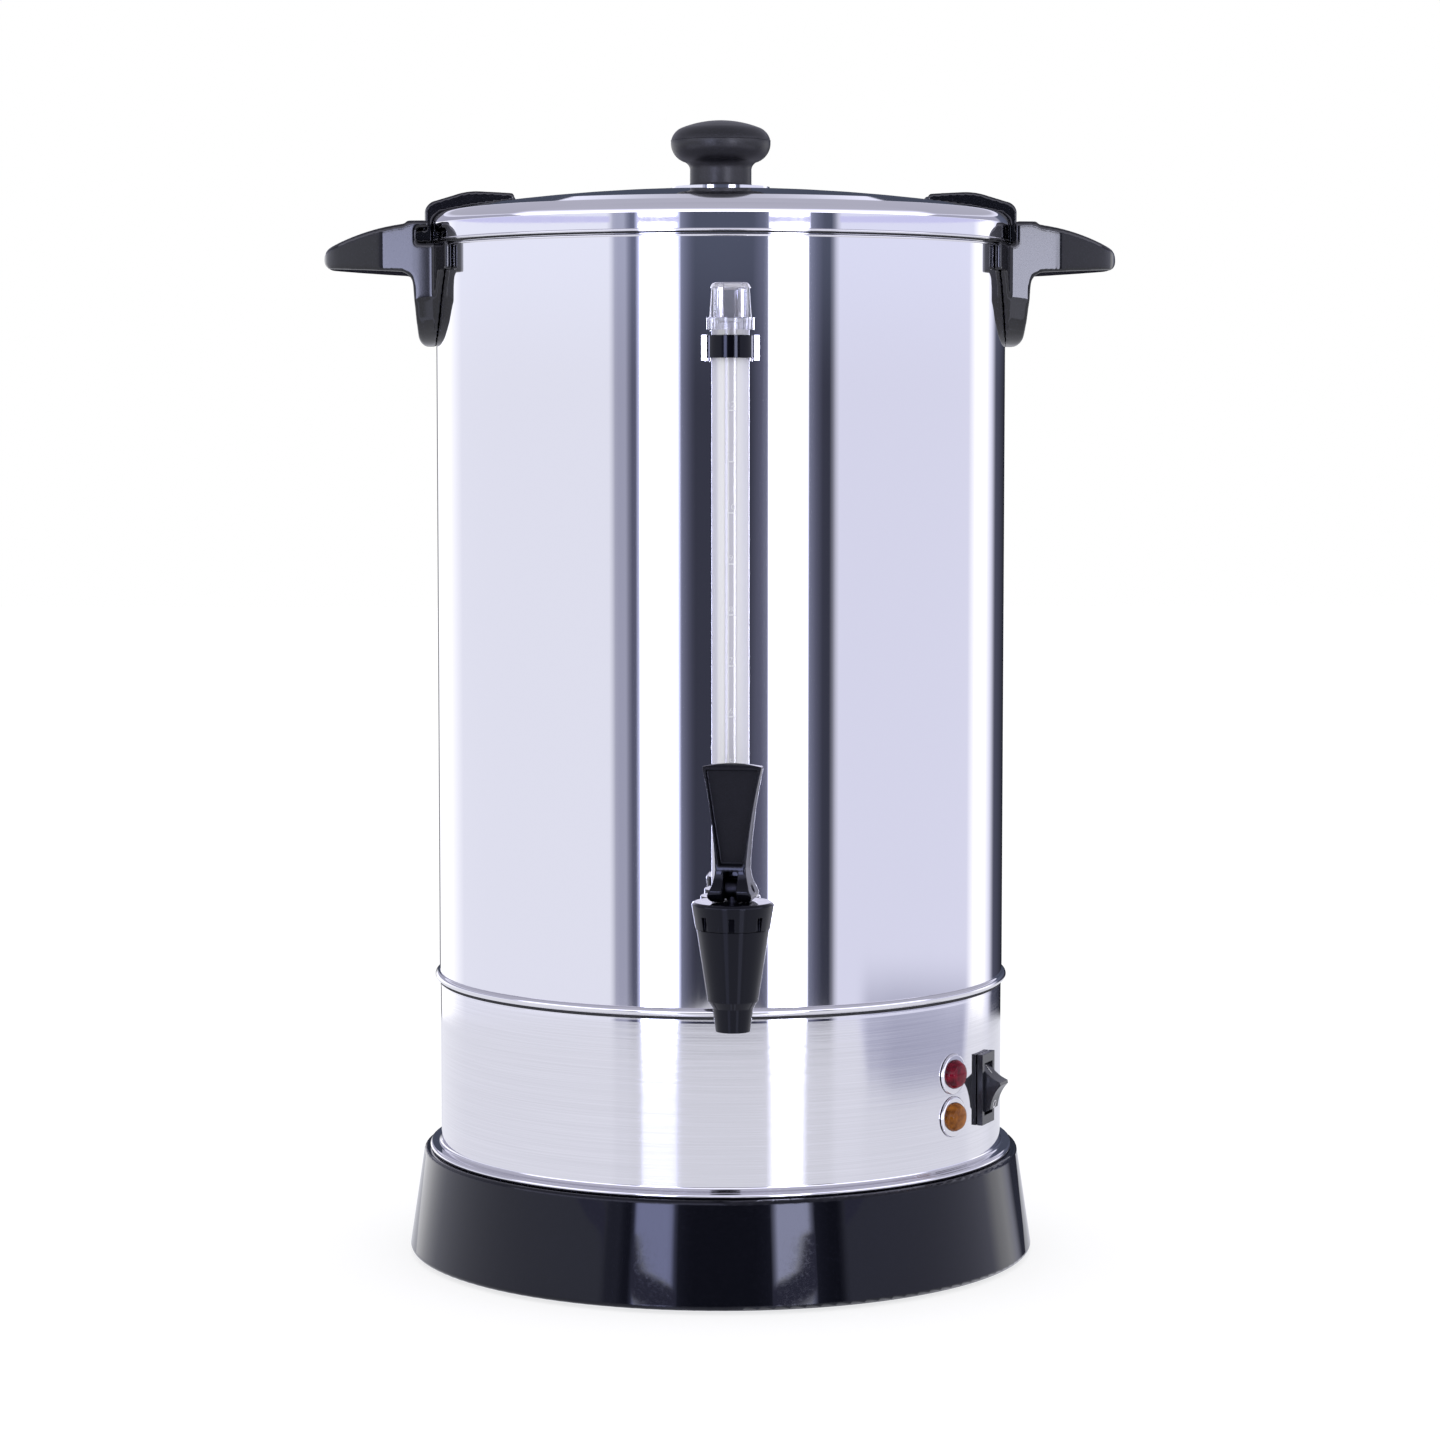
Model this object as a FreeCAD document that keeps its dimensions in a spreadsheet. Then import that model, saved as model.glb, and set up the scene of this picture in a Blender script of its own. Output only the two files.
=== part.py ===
import FreeCAD
import Part
import os
import re
import Sketcher

# Hot water urn of the 15 litre class: a stainless tank on a brushed band and a black skirt,
# with a bayonet lid, a self-closing tap, a sight gauge and a rocker switch.
# The origin is on the tank's axis at table level, +Z is up and the tap faces -Y.

# Driving dimensions, in millimetres and degrees

SIZES = {
    # Clearances shared by all pieces
    "seat_gap": 0.1,
    "free_gap": 0.3,
    "thread_gap": 0.15,
    "pin_gap": 0.05,
    # Tank
    "tank_radius": 125.0,
    "tank_wall": 0.8,
    "tank_floor": 124.4,
    "tank_depth": 325.6,
    "tank_corner": 6.0,
    "tank_bead": 1.8,
    "tank_skirting": 2.2,
    "rim_roll": 0.9,
    # Brushed band between tank and skirt
    "band_inset": 0.4,
    "band_wall": 0.6,
    "band_foot_height": 46.5,
    "lip_reach": 5.0,
    "lip_round": 1.3,
    "lip_cove": 1.6,
    # Black skirt
    "skirt_base_reach": 13.8,
    "skirt_top_reach": 7.0,
    "skirt_wall": 2.6,
    "skirt_drop": 1.5,
    "skirt_base_round": 2.0,
    "skirt_top_round": 1.5,
    "skirt_shelf_width": 3.6,
    "ledge_height": 9.8,
    "ledge_thick": 2.8,
    "ledge_width": 10.2,
    # Base plate, feet and their screws
    "plate_wall": 0.8,
    "plate_slots": 12,
    "plate_slot_start": 60.0,
    "plate_slot_end": 82.0,
    "plate_slot_width": 5.0,
    "foot_inset": 17.0,
    "foot_radius": 9.0,
    "foot_recess": 4.0,
    "foot_screw_radius": 2.0,
    "foot_head_radius": 3.8,
    "foot_head_height": 2.4,
    # Central tie rod
    "tie_radius": 3.0,
    "tie_end": 0.4,
    "tie_nut_flats": 10.0,
    "tie_nut_height": 5.0,
    # Heating under the floor
    "heater_radius": 74.0,
    "heater_thick": 5.0,
    "element_ring": 64.0,
    "element_radius": 3.5,
    "element_open": 40.0,
    "element_tail": 9.0,
    "warm_ring": 30.0,
    "warm_radius": 2.8,
    "thermostat_circle": 46.7,
    "thermostat_radius": 8.5,
    "thermostat_height": 9.0,
    "thermostat_flange": 1.2,
    "cutout_radius": 7.5,
    "cutout_height": 12.0,
    "cutout_button": 2.0,
    "shield_drop": 27.6,
    "shield_clearance": 5.7,
    "shield_wall": 0.8,
    "shield_rim": 8.0,
    "terminal_length": 42.0,
    "terminal_width": 18.0,
    "terminal_tall": 15.0,
    "terminal_offset": 48.0,
    "terminal_ways": 3,
    # Cord gland at the back of the skirt
    "gland_height": 26.0,
    "gland_bore": 3.75,
    "gland_body": 7.0,
    "gland_flange": 9.5,
    "gland_flange_thick": 2.6,
    "gland_inside": 6.0,
    # Rocker switch
    "switch_azimuth": 64.4,
    "switch_rise": 33.4,
    "bezel_width": 15.0,
    "bezel_tall": 30.8,
    "bezel_thick": 2.4,
    "switch_body_width": 12.6,
    "switch_body_tall": 27.0,
    "switch_body_depth": 22.0,
    "cavity_depth": 14.0,
    "rocker_width": 9.6,
    "rocker_end": 11.0,
    "rocker_apex": 11.95,
    "rocker_ridge": 0.7,
    "rocker_hollow": 17.0,
    "rocker_pivot_depth": 4.5,
    "rocker_throw": 26.0,
    "rocker_axle": 1.2,
    "rocker_axle_reach": 1.0,
    "rocker_gap": 0.4,
    # Pilot lamps
    "lamp_azimuth": 51.1,
    "red_lamp_rise": 10.1,
    "amber_lamp_drop": 8.3,
    "lens_radius": 6.2,
    "lens_face_radius": 4.8,
    "lens_cylinder": 1.2,
    "lens_cone": 2.2,
    "lamp_bezel_radius": 8.9,
    "lamp_bezel_thick": 1.0,
    "lamp_body_radius": 5.2,
    "lamp_body_depth": 20.0,
    # Side handles
    "handle_length": 49.0,
    "handle_half": 30.0,
    "handle_nose": 20.0,
    "handle_bar_lip": 0.9,
    "handle_bar_height": 9.6,
    "handle_bar_thick": 3.2,
    "handle_root_height": 8.4,
    "handle_tip_top": 1.4,
    "handle_tip_round": 6.2,
    "handle_under": 12.2,
    "handle_tip_under": 10.6,
    "handle_armpit": 6.0,
    "handle_top_sweep": 110.0,
    "toe_round": 5.0,
    "leg_reach": 8.8,
    "toe_reach": 7.2,
    "leg_length": 44.2,
    "pad_thick": 3.0,
    "pad_half_angle": 21.9,
    "pad_height": 12.0,
    "tongue_top_half": 37.0,
    "tongue_low_half": 25.0,
    "tongue_low": 32.4,
    "tongue_round": 30.0,
    "handle_screw_radius": 2.5,
    "handle_screw_grip": 7.0,
    "handle_screw_low": 34.0,
    "handle_screw_high": 8.0,
    "handle_head_radius": 4.4,
    "handle_head_height": 2.6,
    # Lid and its seal
    "lid_overlap": 4.5,
    "lid_gap": 0.4,
    "lid_wall": 0.6,
    "lid_skirt": 7.5,
    "lid_shoulder": 6.0,
    "lid_slope": 11.5,
    "dome_inset": 10.9,
    "lid_dome_radius": 770.0,
    "boss_radius": 21.5,
    "boss_height": 1.4,
    "vent_radius": 1.5,
    "vent_circle": 62.0,
    "vent_count": 3,
    "seal_width": 5.0,
    # Knob
    "knob_neck": 13.5,
    "knob_foot_height": 7.8,
    "knob_radius": 21.8,
    "knob_edge": 20.2,
    "knob_height": 29.1,
    "knob_screw_radius": 2.5,
    "knob_screw_grip": 14.0,
    "knob_head_radius": 5.0,
    "knob_head_height": 3.0,
    # Bayonet ears
    "ear_angle": 15.0,
    "ear_thick": 2.5,
    "ear_foot_reach": 5.1,
    "ear_foot_height": 5.6,
    "ear_length": 19.0,
    "ear_tip_height": 3.2,
    "ear_peak_inset": 4.5,
    "ear_peak_height": 6.2,
    "ear_brow_reach": 7.5,
    "ear_brow_height": 6.6,
    "ear_corner": 4.2,
    "lid_turn": 22.0,
    "ear_screw_radius": 1.5,
    "ear_screw_inset": 7.0,
    "ear_screw_spread": 6.0,
    "ear_screw_grip": 3.4,
    "ear_head_radius": 2.8,
    "ear_head_height": 1.8,
    # Tap
    "tap_standoff": 22.0,
    "shank_rise": 27.6,
    "shank_radius": 8.0,
    "shank_bore": 5.0,
    "shank_inside": 16.0,
    "spout_drop": 28.1,
    "spout_radius": 7.0,
    "spout_bore": 5.5,
    "nozzle_length": 9.5,
    "nozzle_radius": 8.2,
    "cone_step": 2.9,
    "cone_radius": 10.2,
    "tap_shoulder": 14.6,
    "shoulder_rise": 13.2,
    "tap_neck": 13.2,
    "chamber_radius": 9.8,
    "seat_drop": 9.5,
    "tap_flange": 12.5,
    "tap_flange_thick": 3.4,
    "bonnet_low_radius": 15.0,
    "bonnet_top_radius": 16.6,
    "bonnet_height": 10.8,
    "bonnet_cap": 4.0,
    "bonnet_notches": 8,
    "bonnet_notch_width": 2.6,
    "bonnet_notch_depth": 0.8,
    "bonnet_notch_tall": 5.6,
    "bonnet_stop": -4.0,
    "stem_radius": 2.5,
    "stem_gap": 0.2,
    "head_half": 4.0,
    "head_thick": 5.2,
    "cup_plug": 7.0,
    "cup_plug_height": 4.5,
    "cup_neck": 4.6,
    "cup_lip": 9.4,
    "cup_lip_height": 2.6,
    "spring_length": 14.0,
    "spring_wire": 0.6,
    "spring_radius": 5.4,
    "spring_turns": 5.0,
    "pin_radius": 1.5,
    # Lever
    "lever_turn": -12.0,
    "lever_foot_half": 10.0,
    "lever_foot_round": 5.0,
    "lever_bottom_half": 7.4,
    "lever_cheek_half": 9.0,
    "lever_cheek_height": 3.2,
    "lever_waist_half": 6.2,
    "lever_waist_height": 13.2,
    "lever_top_half": 12.1,
    "lever_height": 55.4,
    "lever_neck_thick": 6.4,
    "lever_neck_sweep": 9.0,
    "lever_top_thick": 3.0,
    "lever_crown": 1.4,
    "lever_cheek_round": 3.4,
    "lever_cheek_sweep": 24.0,
    "lever_side_sweep": 240.0,
    "lever_top_sweep": 60.0,
    "lever_rim": 1.4,
    "lever_web": 1.2,
    "lever_recess_rise": 1.5,
    "fork_height": 12.3,
    # Gauge
    "gauge_standoff": 12.5,
    "tube_radius": 7.7,
    "tube_bore": 3.3,
    "tube_drop": 42.0,
    "fitting_radius": 12.5,
    "socket_radius": 12.2,
    "socket_rise": 22.5,
    "socket_floor_rise": 11.0,
    "passage_radius": 3.2,
    "gauge_seal_height": 2.4,
    "gasket_radius": 12.0,
    "gasket_thick": 2.4,
    "inner_gasket_radius": 13.0,
    "inner_gasket_thick": 2.6,
    "tap_nut_flats": 24.0,
    "tap_nut_thick": 6.0,
    "bush_radius": 9.7,
    "bush_height": 9.2,
    "bush_drop": 14.4,
    "clip_wall": 2.0,
    "clip_open": 76.0,
    "clip_drop": 1.0,
    "clip_pad_half": 4.0,
    "clip_screw_radius": 1.5,
    "clip_head_radius": 2.8,
    "clip_head_height": 1.8,
    # Gauge cap
    "cap_overlap": 3.0,
    "cap_ring_height": 4.9,
    "cap_ring_radius": 9.7,
    "cap_height": 19.0,
    "cap_low_radius": 9.0,
    "cap_top_radius": 8.2,
    "cap_top_round": 2.0,
    "cap_brow": 2.2,
    "cap_flats": 8,
    "cap_flat_width": 5.8,
    "cap_flat_radius": 7.75,
    "cap_knurls": 24,
    "cap_knurl_width": 0.8,
    "cap_knurl_depth": 0.4,
    "cap_seal_thick": 1.4,
}

# Heights, radii and angles that follow from the driving dimensions, all from the table and the axis

LEVELS = {
    # Tank, band and skirt
    "seam_z": "tank_floor - tank_skirting",
    "rim_z": "tank_floor + tank_depth",
    "band_radius": "tank_radius - band_inset",
    "lip_top_z": "band_foot_height + 2 * lip_round",
    "skirt_base_radius": "tank_radius + skirt_base_reach",
    "skirt_top_radius": "tank_radius + skirt_top_reach",
    "skirt_slope": "(skirt_base_radius - skirt_top_radius) / (band_foot_height - skirt_drop)",
    "skirt_inner": "skirt_base_radius - skirt_wall",
    "skirt_shelf": "band_radius - skirt_shelf_width",
    "ledge_top_z": "ledge_height + ledge_thick",
    "ledge_inner": "skirt_inner - ledge_width",
    "plate_radius": "skirt_inner - 8 * skirt_slope - free_gap",
    "plate_z": "ledge_height - plate_wall",
    "plate_top_z": "ledge_height",
    "foot_circle": "tank_radius - foot_inset",
    "tie_end_height": "plate_z - tie_nut_height - tie_end",
    # Lid and seal
    "lid_edge_z": "rim_z - lid_overlap",
    "lid_radius": "tank_radius + rim_roll + lid_gap + lid_wall",
    "lid_skirt_z": "lid_edge_z + lid_skirt",
    "lid_bend_r": "lid_radius - lid_shoulder",
    "lid_slope_r": "lid_bend_r + lid_shoulder * sin(lid_slope)",
    "lid_slope_z": "lid_skirt_z + lid_shoulder * cos(lid_slope)",
    "lid_dome_start": "lid_bend_r - dome_inset",
    "dome_z": "lid_slope_z + (lid_slope_r - lid_dome_start) * tan(lid_slope)",
    "dome_centre": "dome_z - sqrt(lid_dome_radius^2 - lid_dome_start^2)",
    "boss_foot_z": "dome_centre + sqrt(lid_dome_radius^2 - boss_radius^2)",
    "boss_z": "dome_centre + lid_dome_radius + boss_height",
    "seal_inner": "tank_radius - seal_width",
    # Bayonet ears
    "ear_inner": "lid_radius + free_gap",
    "ear_outer": "ear_inner + ear_thick",
    "ear_tip": "lid_dome_start - ear_length",
    "ear_peak": "lid_dome_start - ear_peak_inset",
    "ear_brow": "lid_dome_start + ear_brow_reach",
    "ear_screw_circle": "lid_dome_start - ear_screw_inset",
    "ear_tip_z": "dome_centre + sqrt(lid_dome_radius^2 - ear_tip^2) + free_gap",
    "ear_foot_z": "lid_edge_z",
    "ear_foot_r": "ear_outer + ear_foot_reach",
    "ear_crown_z": "dome_z + free_gap",
    # Handles
    "deck_z": "ear_foot_z - 2 * free_gap",
    "bar_inner": "ear_outer + free_gap + 0.2",
    "slot_outer": "ear_foot_r + free_gap + 0.2",
    "slot_top_z": "ear_foot_z + ear_foot_height + free_gap",
    "bar_top_z": "slot_top_z + handle_bar_thick",
    "handle_bar_outer": "slot_outer + handle_bar_lip",
    "handle_tip": "tank_radius + handle_length",
    "under_z": "deck_z - handle_under",
    "tip_under_z": "deck_z - handle_tip_under",
    "leg_outer": "tank_radius + leg_reach",
    "leg_toe": "tank_radius + toe_reach",
    "toe_z": "deck_z - leg_length",
    "pad_z": "deck_z - pad_height",
    "side_arc": "((handle_length - handle_nose)^2 + handle_half^2 - handle_nose^2)"
                " / (2 * (handle_half - handle_nose))",
    "nose_x": "tank_radius + (handle_length - handle_nose) * (1 + handle_nose / (side_arc - handle_nose))",
    "nose_y": "handle_nose * (side_arc - handle_half) / (side_arc - handle_nose)",
    "handle_inner": "tank_radius + seat_gap",
    # Switch and lamps
    "bezel_back": "band_radius + seat_gap",
    "bezel_face": "bezel_back + bezel_thick",
    "pivot_r": "bezel_face - rocker_pivot_depth",
    "switch_height": "band_foot_height + switch_rise",
    "lamp_face": "band_radius + seat_gap + lamp_bezel_thick",
    "red_lamp_height": "switch_height + red_lamp_rise",
    "amber_lamp_height": "switch_height - amber_lamp_drop",
    # Heating and its shield
    "heater_top_z": "tank_floor - tank_wall",
    "heater_z": "heater_top_z - heater_thick",
    "shield_height": "heater_z - shield_drop",
    "shield_radius": "bezel_back - switch_body_depth - shield_clearance",
    # Gauge, from its tee up to the cap
    "shank_height": "tank_floor + shank_rise",
    "shank_end": "tank_radius - shank_inside",
    "gauge_reach": "tank_radius + gauge_standoff",
    "fitting_back": "tank_radius + gasket_thick",
    "fitting_front": "gauge_reach + socket_radius + free_gap",
    "socket_top": "shank_height + socket_rise",
    "socket_floor": "shank_height + socket_floor_rise",
    "tube_foot_z": "socket_floor + gauge_seal_height",
    "tube_top": "rim_z - tube_drop",
    "bush_low": "tube_top - bush_drop",
    "cap_low": "tube_top - cap_overlap",
    "cap_seal_z": "tube_top + seat_gap",
    "cap_roof_z": "cap_seal_z + cap_seal_thick + seat_gap",
    "cap_top_z": "cap_low + cap_height",
    # Tap, stem and lever
    "tap_reach": "fitting_front + tap_standoff",
    "spout_height": "shank_height - spout_drop",
    "nozzle_z": "spout_height + nozzle_length",
    "cone_z": "nozzle_z + cone_step",
    "seat_height": "shank_height - seat_drop",
    "tap_shoulder_height": "shank_height + shoulder_rise",
    "bonnet_z": "tap_shoulder_height + free_gap",
    "bonnet_top_z": "bonnet_z + bonnet_height",
    "bonnet_roof_z": "bonnet_top_z - bonnet_cap",
    "tap_neck_z": "bonnet_roof_z",
    "cup_z": "seat_height",
    "cup_top_z": "bonnet_roof_z - spring_length",
    "lever_z": "bonnet_top_z + free_gap",
    "pin_z": "lever_z + lever_foot_round",
    "lever_top_z": "lever_z + lever_height",
}

NAMES = re.compile(r"[a-z_][a-z_0-9]*")

doc = FreeCAD.newDocument("hot_water_urn")
sheet = doc.addObject("Spreadsheet::Sheet", "Sizes")
levels = doc.addObject("App::VarSet", "Levels")
parts = {}


def bind(text, own_levels=False):
    """Puts the name of its table before each size or level named in an expression."""
    def with_table(match):
        word = match.group(0)
        if word in SIZES:
            return "Sizes." + word
        if word in LEVELS and not own_levels:
            return "Levels." + word
        return word
    return NAMES.sub(with_table, str(text))


def value(text):
    """Works out an expression of sizes and levels as a number."""
    return float(levels.evalExpression(bind(text, own_levels=True)))


def fill_tables():
    """Writes the driving dimensions into the sheet and the levels that follow from them."""
    for row, (name, size) in enumerate(SIZES.items(), start=1):
        sheet.set(f"A{row}", str(size))
        sheet.setAlias(f"A{row}", name)
    doc.recompute()
    for name, expression in LEVELS.items():
        levels.addProperty("App::PropertyFloat", name)
        levels.setExpression(name, bind(expression, own_levels=True))
        doc.recompute()


def body(name, azimuth=None, forward=None):
    """A body named for its piece, turned about the tank's axis or moved out to the front."""
    piece = doc.addObject("PartDesign::Body", name)
    piece.Label = name
    if azimuth is not None:
        piece.Placement = FreeCAD.Placement(
            FreeCAD.Vector(0, 0, 0), FreeCAD.Rotation(FreeCAD.Vector(0, 0, 1), 1))
        piece.setExpression(".Placement.Rotation.Angle", bind(azimuth))
    if forward is not None:
        piece.setExpression(".Placement.Base.y", bind(f"-({forward})"))
    return piece


def keep(name, piece):
    """Enters a finished piece in the list that is written out."""
    parts[name] = piece
    return piece


def sketch(piece, plane, across="0", up="0", out="0", turn=None, spin=None):
    """A sketch on one of the body's own planes, shifted by expressions.

    turn swings it about its upright axis, spin about its normal.
    """
    origin = [f for f in piece.Origin.OriginFeatures if f.Role == plane][0]
    drawing = piece.newObject("Sketcher::SketchObject", f"{piece.Name}_outline")
    drawing.AttachmentSupport = [(origin, "")]
    drawing.MapMode = "FlatFace"
    turned_about = FreeCAD.Vector(0, 1, 0) if turn is not None else FreeCAD.Vector(0, 0, 1)
    drawing.AttachmentOffset = FreeCAD.Placement(
        FreeCAD.Vector(0, 0, 0), FreeCAD.Rotation(turned_about, 1 if turn or spin else 0))
    for axis, shift in (("x", across), ("y", up), ("z", out)):
        if shift != "0":
            drawing.setExpression(f".AttachmentOffset.Base.{axis}", bind(shift))
    angle = turn if turn is not None else spin
    if angle is not None:
        drawing.setExpression(".AttachmentOffset.Rotation.Angle", bind(angle))
    return drawing


def tie(drawing, kind, first, first_point, second, second_point, expression):
    """Adds one dimension to a sketch and binds it to its expression."""
    number = value(expression)
    if kind == "Radius":
        index = drawing.addConstraint(Sketcher.Constraint(kind, first, number))
    else:
        index = drawing.addConstraint(
            Sketcher.Constraint(kind, first, first_point, second, second_point, number))
    drawing.setExpression(f"Constraints[{index}]", bind(expression))


def tie_point(drawing, edge, point, across, up):
    """Ties a point of a sketch to its distances from the sketch's origin."""
    tie(drawing, "DistanceX", -1, 1, edge, point, across)
    tie(drawing, "DistanceY", -1, 1, edge, point, up)


def arc_edge(start, end, radius, clockwise):
    """An arc from start to end that turns left, or right when clockwise."""
    chord = end - start
    middle = (start + end) * 0.5
    rise = max(radius ** 2 - (chord.Length / 2) ** 2, 0.0) ** 0.5
    left = FreeCAD.Vector(-chord.y, chord.x, 0) / chord.Length
    centre = middle - left * rise if clockwise else middle + left * rise
    first, last = (end, start) if clockwise else (start, end)
    circle = Part.Circle(centre, FreeCAD.Vector(0, 0, 1), radius)
    return Part.ArcOfCircle(circle, circle.parameter(first), circle.parameter(last))


def outline(drawing, corners):
    """Draws one closed outline, tied at every corner.

    A corner is (across, up) when a straight edge arrives at it, or (across, up, radius) when an
    arc that turns left does. A fourth entry, "right", makes the arc turn right.
    """
    points = [FreeCAD.Vector(value(c[0]), value(c[1]), 0) for c in corners]
    edges = []
    for index, corner in enumerate(corners):
        start, end = points[index - 1], points[index]
        if len(corner) == 2:
            edge = drawing.addGeometry(Part.LineSegment(start, end), False)
            edges.append((edge, 1, 2))
            continue
        clockwise = len(corner) == 4
        radius = value(corner[2])
        edge = drawing.addGeometry(arc_edge(start, end, radius, clockwise), False)
        edges.append((edge, 2, 1) if clockwise else (edge, 1, 2))
    for index, (edge, start, end) in enumerate(edges):
        following = edges[(index + 1) % len(edges)]
        drawing.addConstraint(Sketcher.Constraint("Coincident", edge, end, following[0], following[1]))
        tie_point(drawing, edge, end, corners[index][0], corners[index][1])
        if len(corners[index]) > 2:
            tie(drawing, "Radius", edge, None, None, None, corners[index][2])
    return drawing


def circle(drawing, across, up, radius):
    """Draws a circle tied to its centre and radius."""
    centre = FreeCAD.Vector(value(across), value(up), 0)
    ring = Part.Circle(centre, FreeCAD.Vector(0, 0, 1), value(radius))
    edge = drawing.addGeometry(ring, False)
    tie_point(drawing, edge, 3, across, up)
    tie(drawing, "Radius", edge, None, None, None, radius)
    return drawing


def box_outline(drawing, left, right, low, high):
    """Draws a rectangle between four expressions."""
    return outline(drawing, [(left, low), (right, low), (right, high), (left, high)])


def feature(piece, kind, drawing, **settings):
    """Adds a feature made from a sketch; text settings are bound as expressions."""
    made = piece.newObject(f"PartDesign::{kind}", f"{piece.Name}_{kind.lower()}")
    made.Profile = drawing
    for name, setting in settings.items():
        if isinstance(setting, str):
            made.setExpression(name, bind(setting))
        else:
            setattr(made, name, setting)
    doc.recompute()
    return made


def pad(piece, drawing, length, **settings):
    """Adds material along the sketch's normal."""
    return feature(piece, "Pad", drawing, Length=length, **settings)


def pocket(piece, drawing, length=None, **settings):
    """Cuts against the sketch's normal, right through when no length is given."""
    if length is None:
        return feature(piece, "Pocket", drawing, Type=1, **settings)
    return feature(piece, "Pocket", drawing, Length=length, **settings)


def revolve(piece, drawing, axis="V_Axis", **settings):
    """Turns the sketch into a solid about its own upright or level axis."""
    return feature(piece, "Revolution", drawing, ReferenceAxis=(drawing, [axis]), **settings)


def groove(piece, drawing, axis="V_Axis", **settings):
    """Turns the sketch into a cut about its own axis."""
    return feature(piece, "Groove", drawing, ReferenceAxis=(drawing, [axis]), **settings)


def repeat_round(piece, cut, count):
    """Repeats a feature evenly around the body's own upright axis."""
    upright = [f for f in piece.Origin.OriginFeatures if f.Role == "Z_Axis"][0]
    pattern = piece.newObject("PartDesign::PolarPattern", f"{piece.Name}_pattern")
    pattern.Originals = [cut]
    pattern.Axis = (upright, [""])
    pattern.Angle = 360
    pattern.setExpression("Occurrences", bind(count))
    piece.Tip = pattern
    doc.recompute()
    return pattern


def turned(name, corners, azimuth=None, forward=None):
    """A piece turned about an upright axis from one closed outline of radius and height."""
    piece = body(name, azimuth, forward)
    revolve(piece, outline(sketch(piece, "XZ_Plane"), corners))
    return keep(name, piece)


def tube_corners(inner, outer, low, high):
    """Outline of a plain ring between two radii and two heights."""
    return [(inner, low), (outer, low), (outer, high), (inner, high)]


def hexagon(drawing, up, flats):
    """Draws a hexagon with two flats upright, from its width across flats."""
    half = f"({flats}) / 2"
    corner = f"({flats}) / sqrt(3)"
    outline(drawing, [
        (half, f"{up} - {corner} / 2"), (half, f"{up} + {corner} / 2"), ("0", f"{up} + {corner}"),
        (f"-{half}", f"{up} + {corner} / 2"), (f"-{half}", f"{up} - {corner} / 2"),
        ("0", f"{up} - {corner}")])
    return drawing


def make_tank():
    """Deep-drawn vessel with a bead over the band's edge and a rolled rim under the lid."""
    piece = turned("tank_vessel", [
        ("0", "tank_floor - tank_wall"),
        ("tank_radius - tank_skirting", "tank_floor - tank_wall"),
        ("tank_radius - tank_skirting", "seam_z"),
        ("tank_radius", "seam_z"),
        ("tank_radius + tank_bead", "seam_z + tank_bead", "tank_bead"),
        ("tank_radius", "seam_z + 2 * tank_bead", "tank_bead"),
        ("tank_radius", "rim_z - 2 * rim_roll"),
        ("tank_radius + rim_roll", "rim_z - rim_roll", "rim_roll"),
        ("tank_radius", "rim_z", "rim_roll"),
        ("tank_radius - tank_wall", "rim_z"),
        ("tank_radius - tank_wall", "tank_floor + tank_corner"),
        ("tank_radius - tank_wall - tank_corner", "tank_floor", "tank_corner", "right"),
        ("0", "tank_floor"),
    ])
    shank_hole = circle(sketch(piece, "XZ_Plane"), "0", "shank_height", "shank_radius + thread_gap")
    pocket(piece, shank_hole, Reversed=True)
    clip_hole = circle(sketch(piece, "XZ_Plane"), "0", "bush_low + bush_height / 2",
                       "clip_screw_radius + thread_gap")
    pocket(piece, clip_hole, Reversed=True)
    for depth in ("handle_screw_low", "handle_screw_high"):
        screw_hole = circle(sketch(piece, "YZ_Plane"), "0", f"deck_z - {depth}",
                            "handle_screw_radius + thread_gap")
        pocket(piece, screw_hole, Midplane=True)


def make_band():
    """Brushed band: a plain ring with a coved lip at its foot, holes for the switch and lamps."""
    piece = turned("base_band", [
        ("band_radius - band_wall", "band_foot_height"),
        ("band_radius + lip_reach - lip_round", "band_foot_height"),
        ("band_radius + lip_reach", "band_foot_height + lip_round", "lip_round"),
        ("band_radius + lip_reach - lip_round", "lip_top_z", "lip_round"),
        ("band_radius + lip_cove", "lip_top_z"),
        ("band_radius", "lip_top_z + lip_cove", "lip_cove", "right"),
        ("band_radius", "seam_z"),
        ("band_radius - band_wall", "seam_z"),
    ])
    switch_hole = sketch(piece, "XZ_Plane", turn="switch_azimuth")
    box_outline(switch_hole,
                "-switch_body_width / 2 - seat_gap", "switch_body_width / 2 + seat_gap",
                "switch_height - switch_body_tall / 2 - seat_gap",
                "switch_height + switch_body_tall / 2 + seat_gap")
    pocket(piece, switch_hole, Reversed=True)
    for height in ("red_lamp_height", "amber_lamp_height"):
        lamp_hole = sketch(piece, "XZ_Plane", turn="lamp_azimuth")
        circle(lamp_hole, "0", height, "lens_radius + seat_gap")
        pocket(piece, lamp_hole, Reversed=True)


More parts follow.
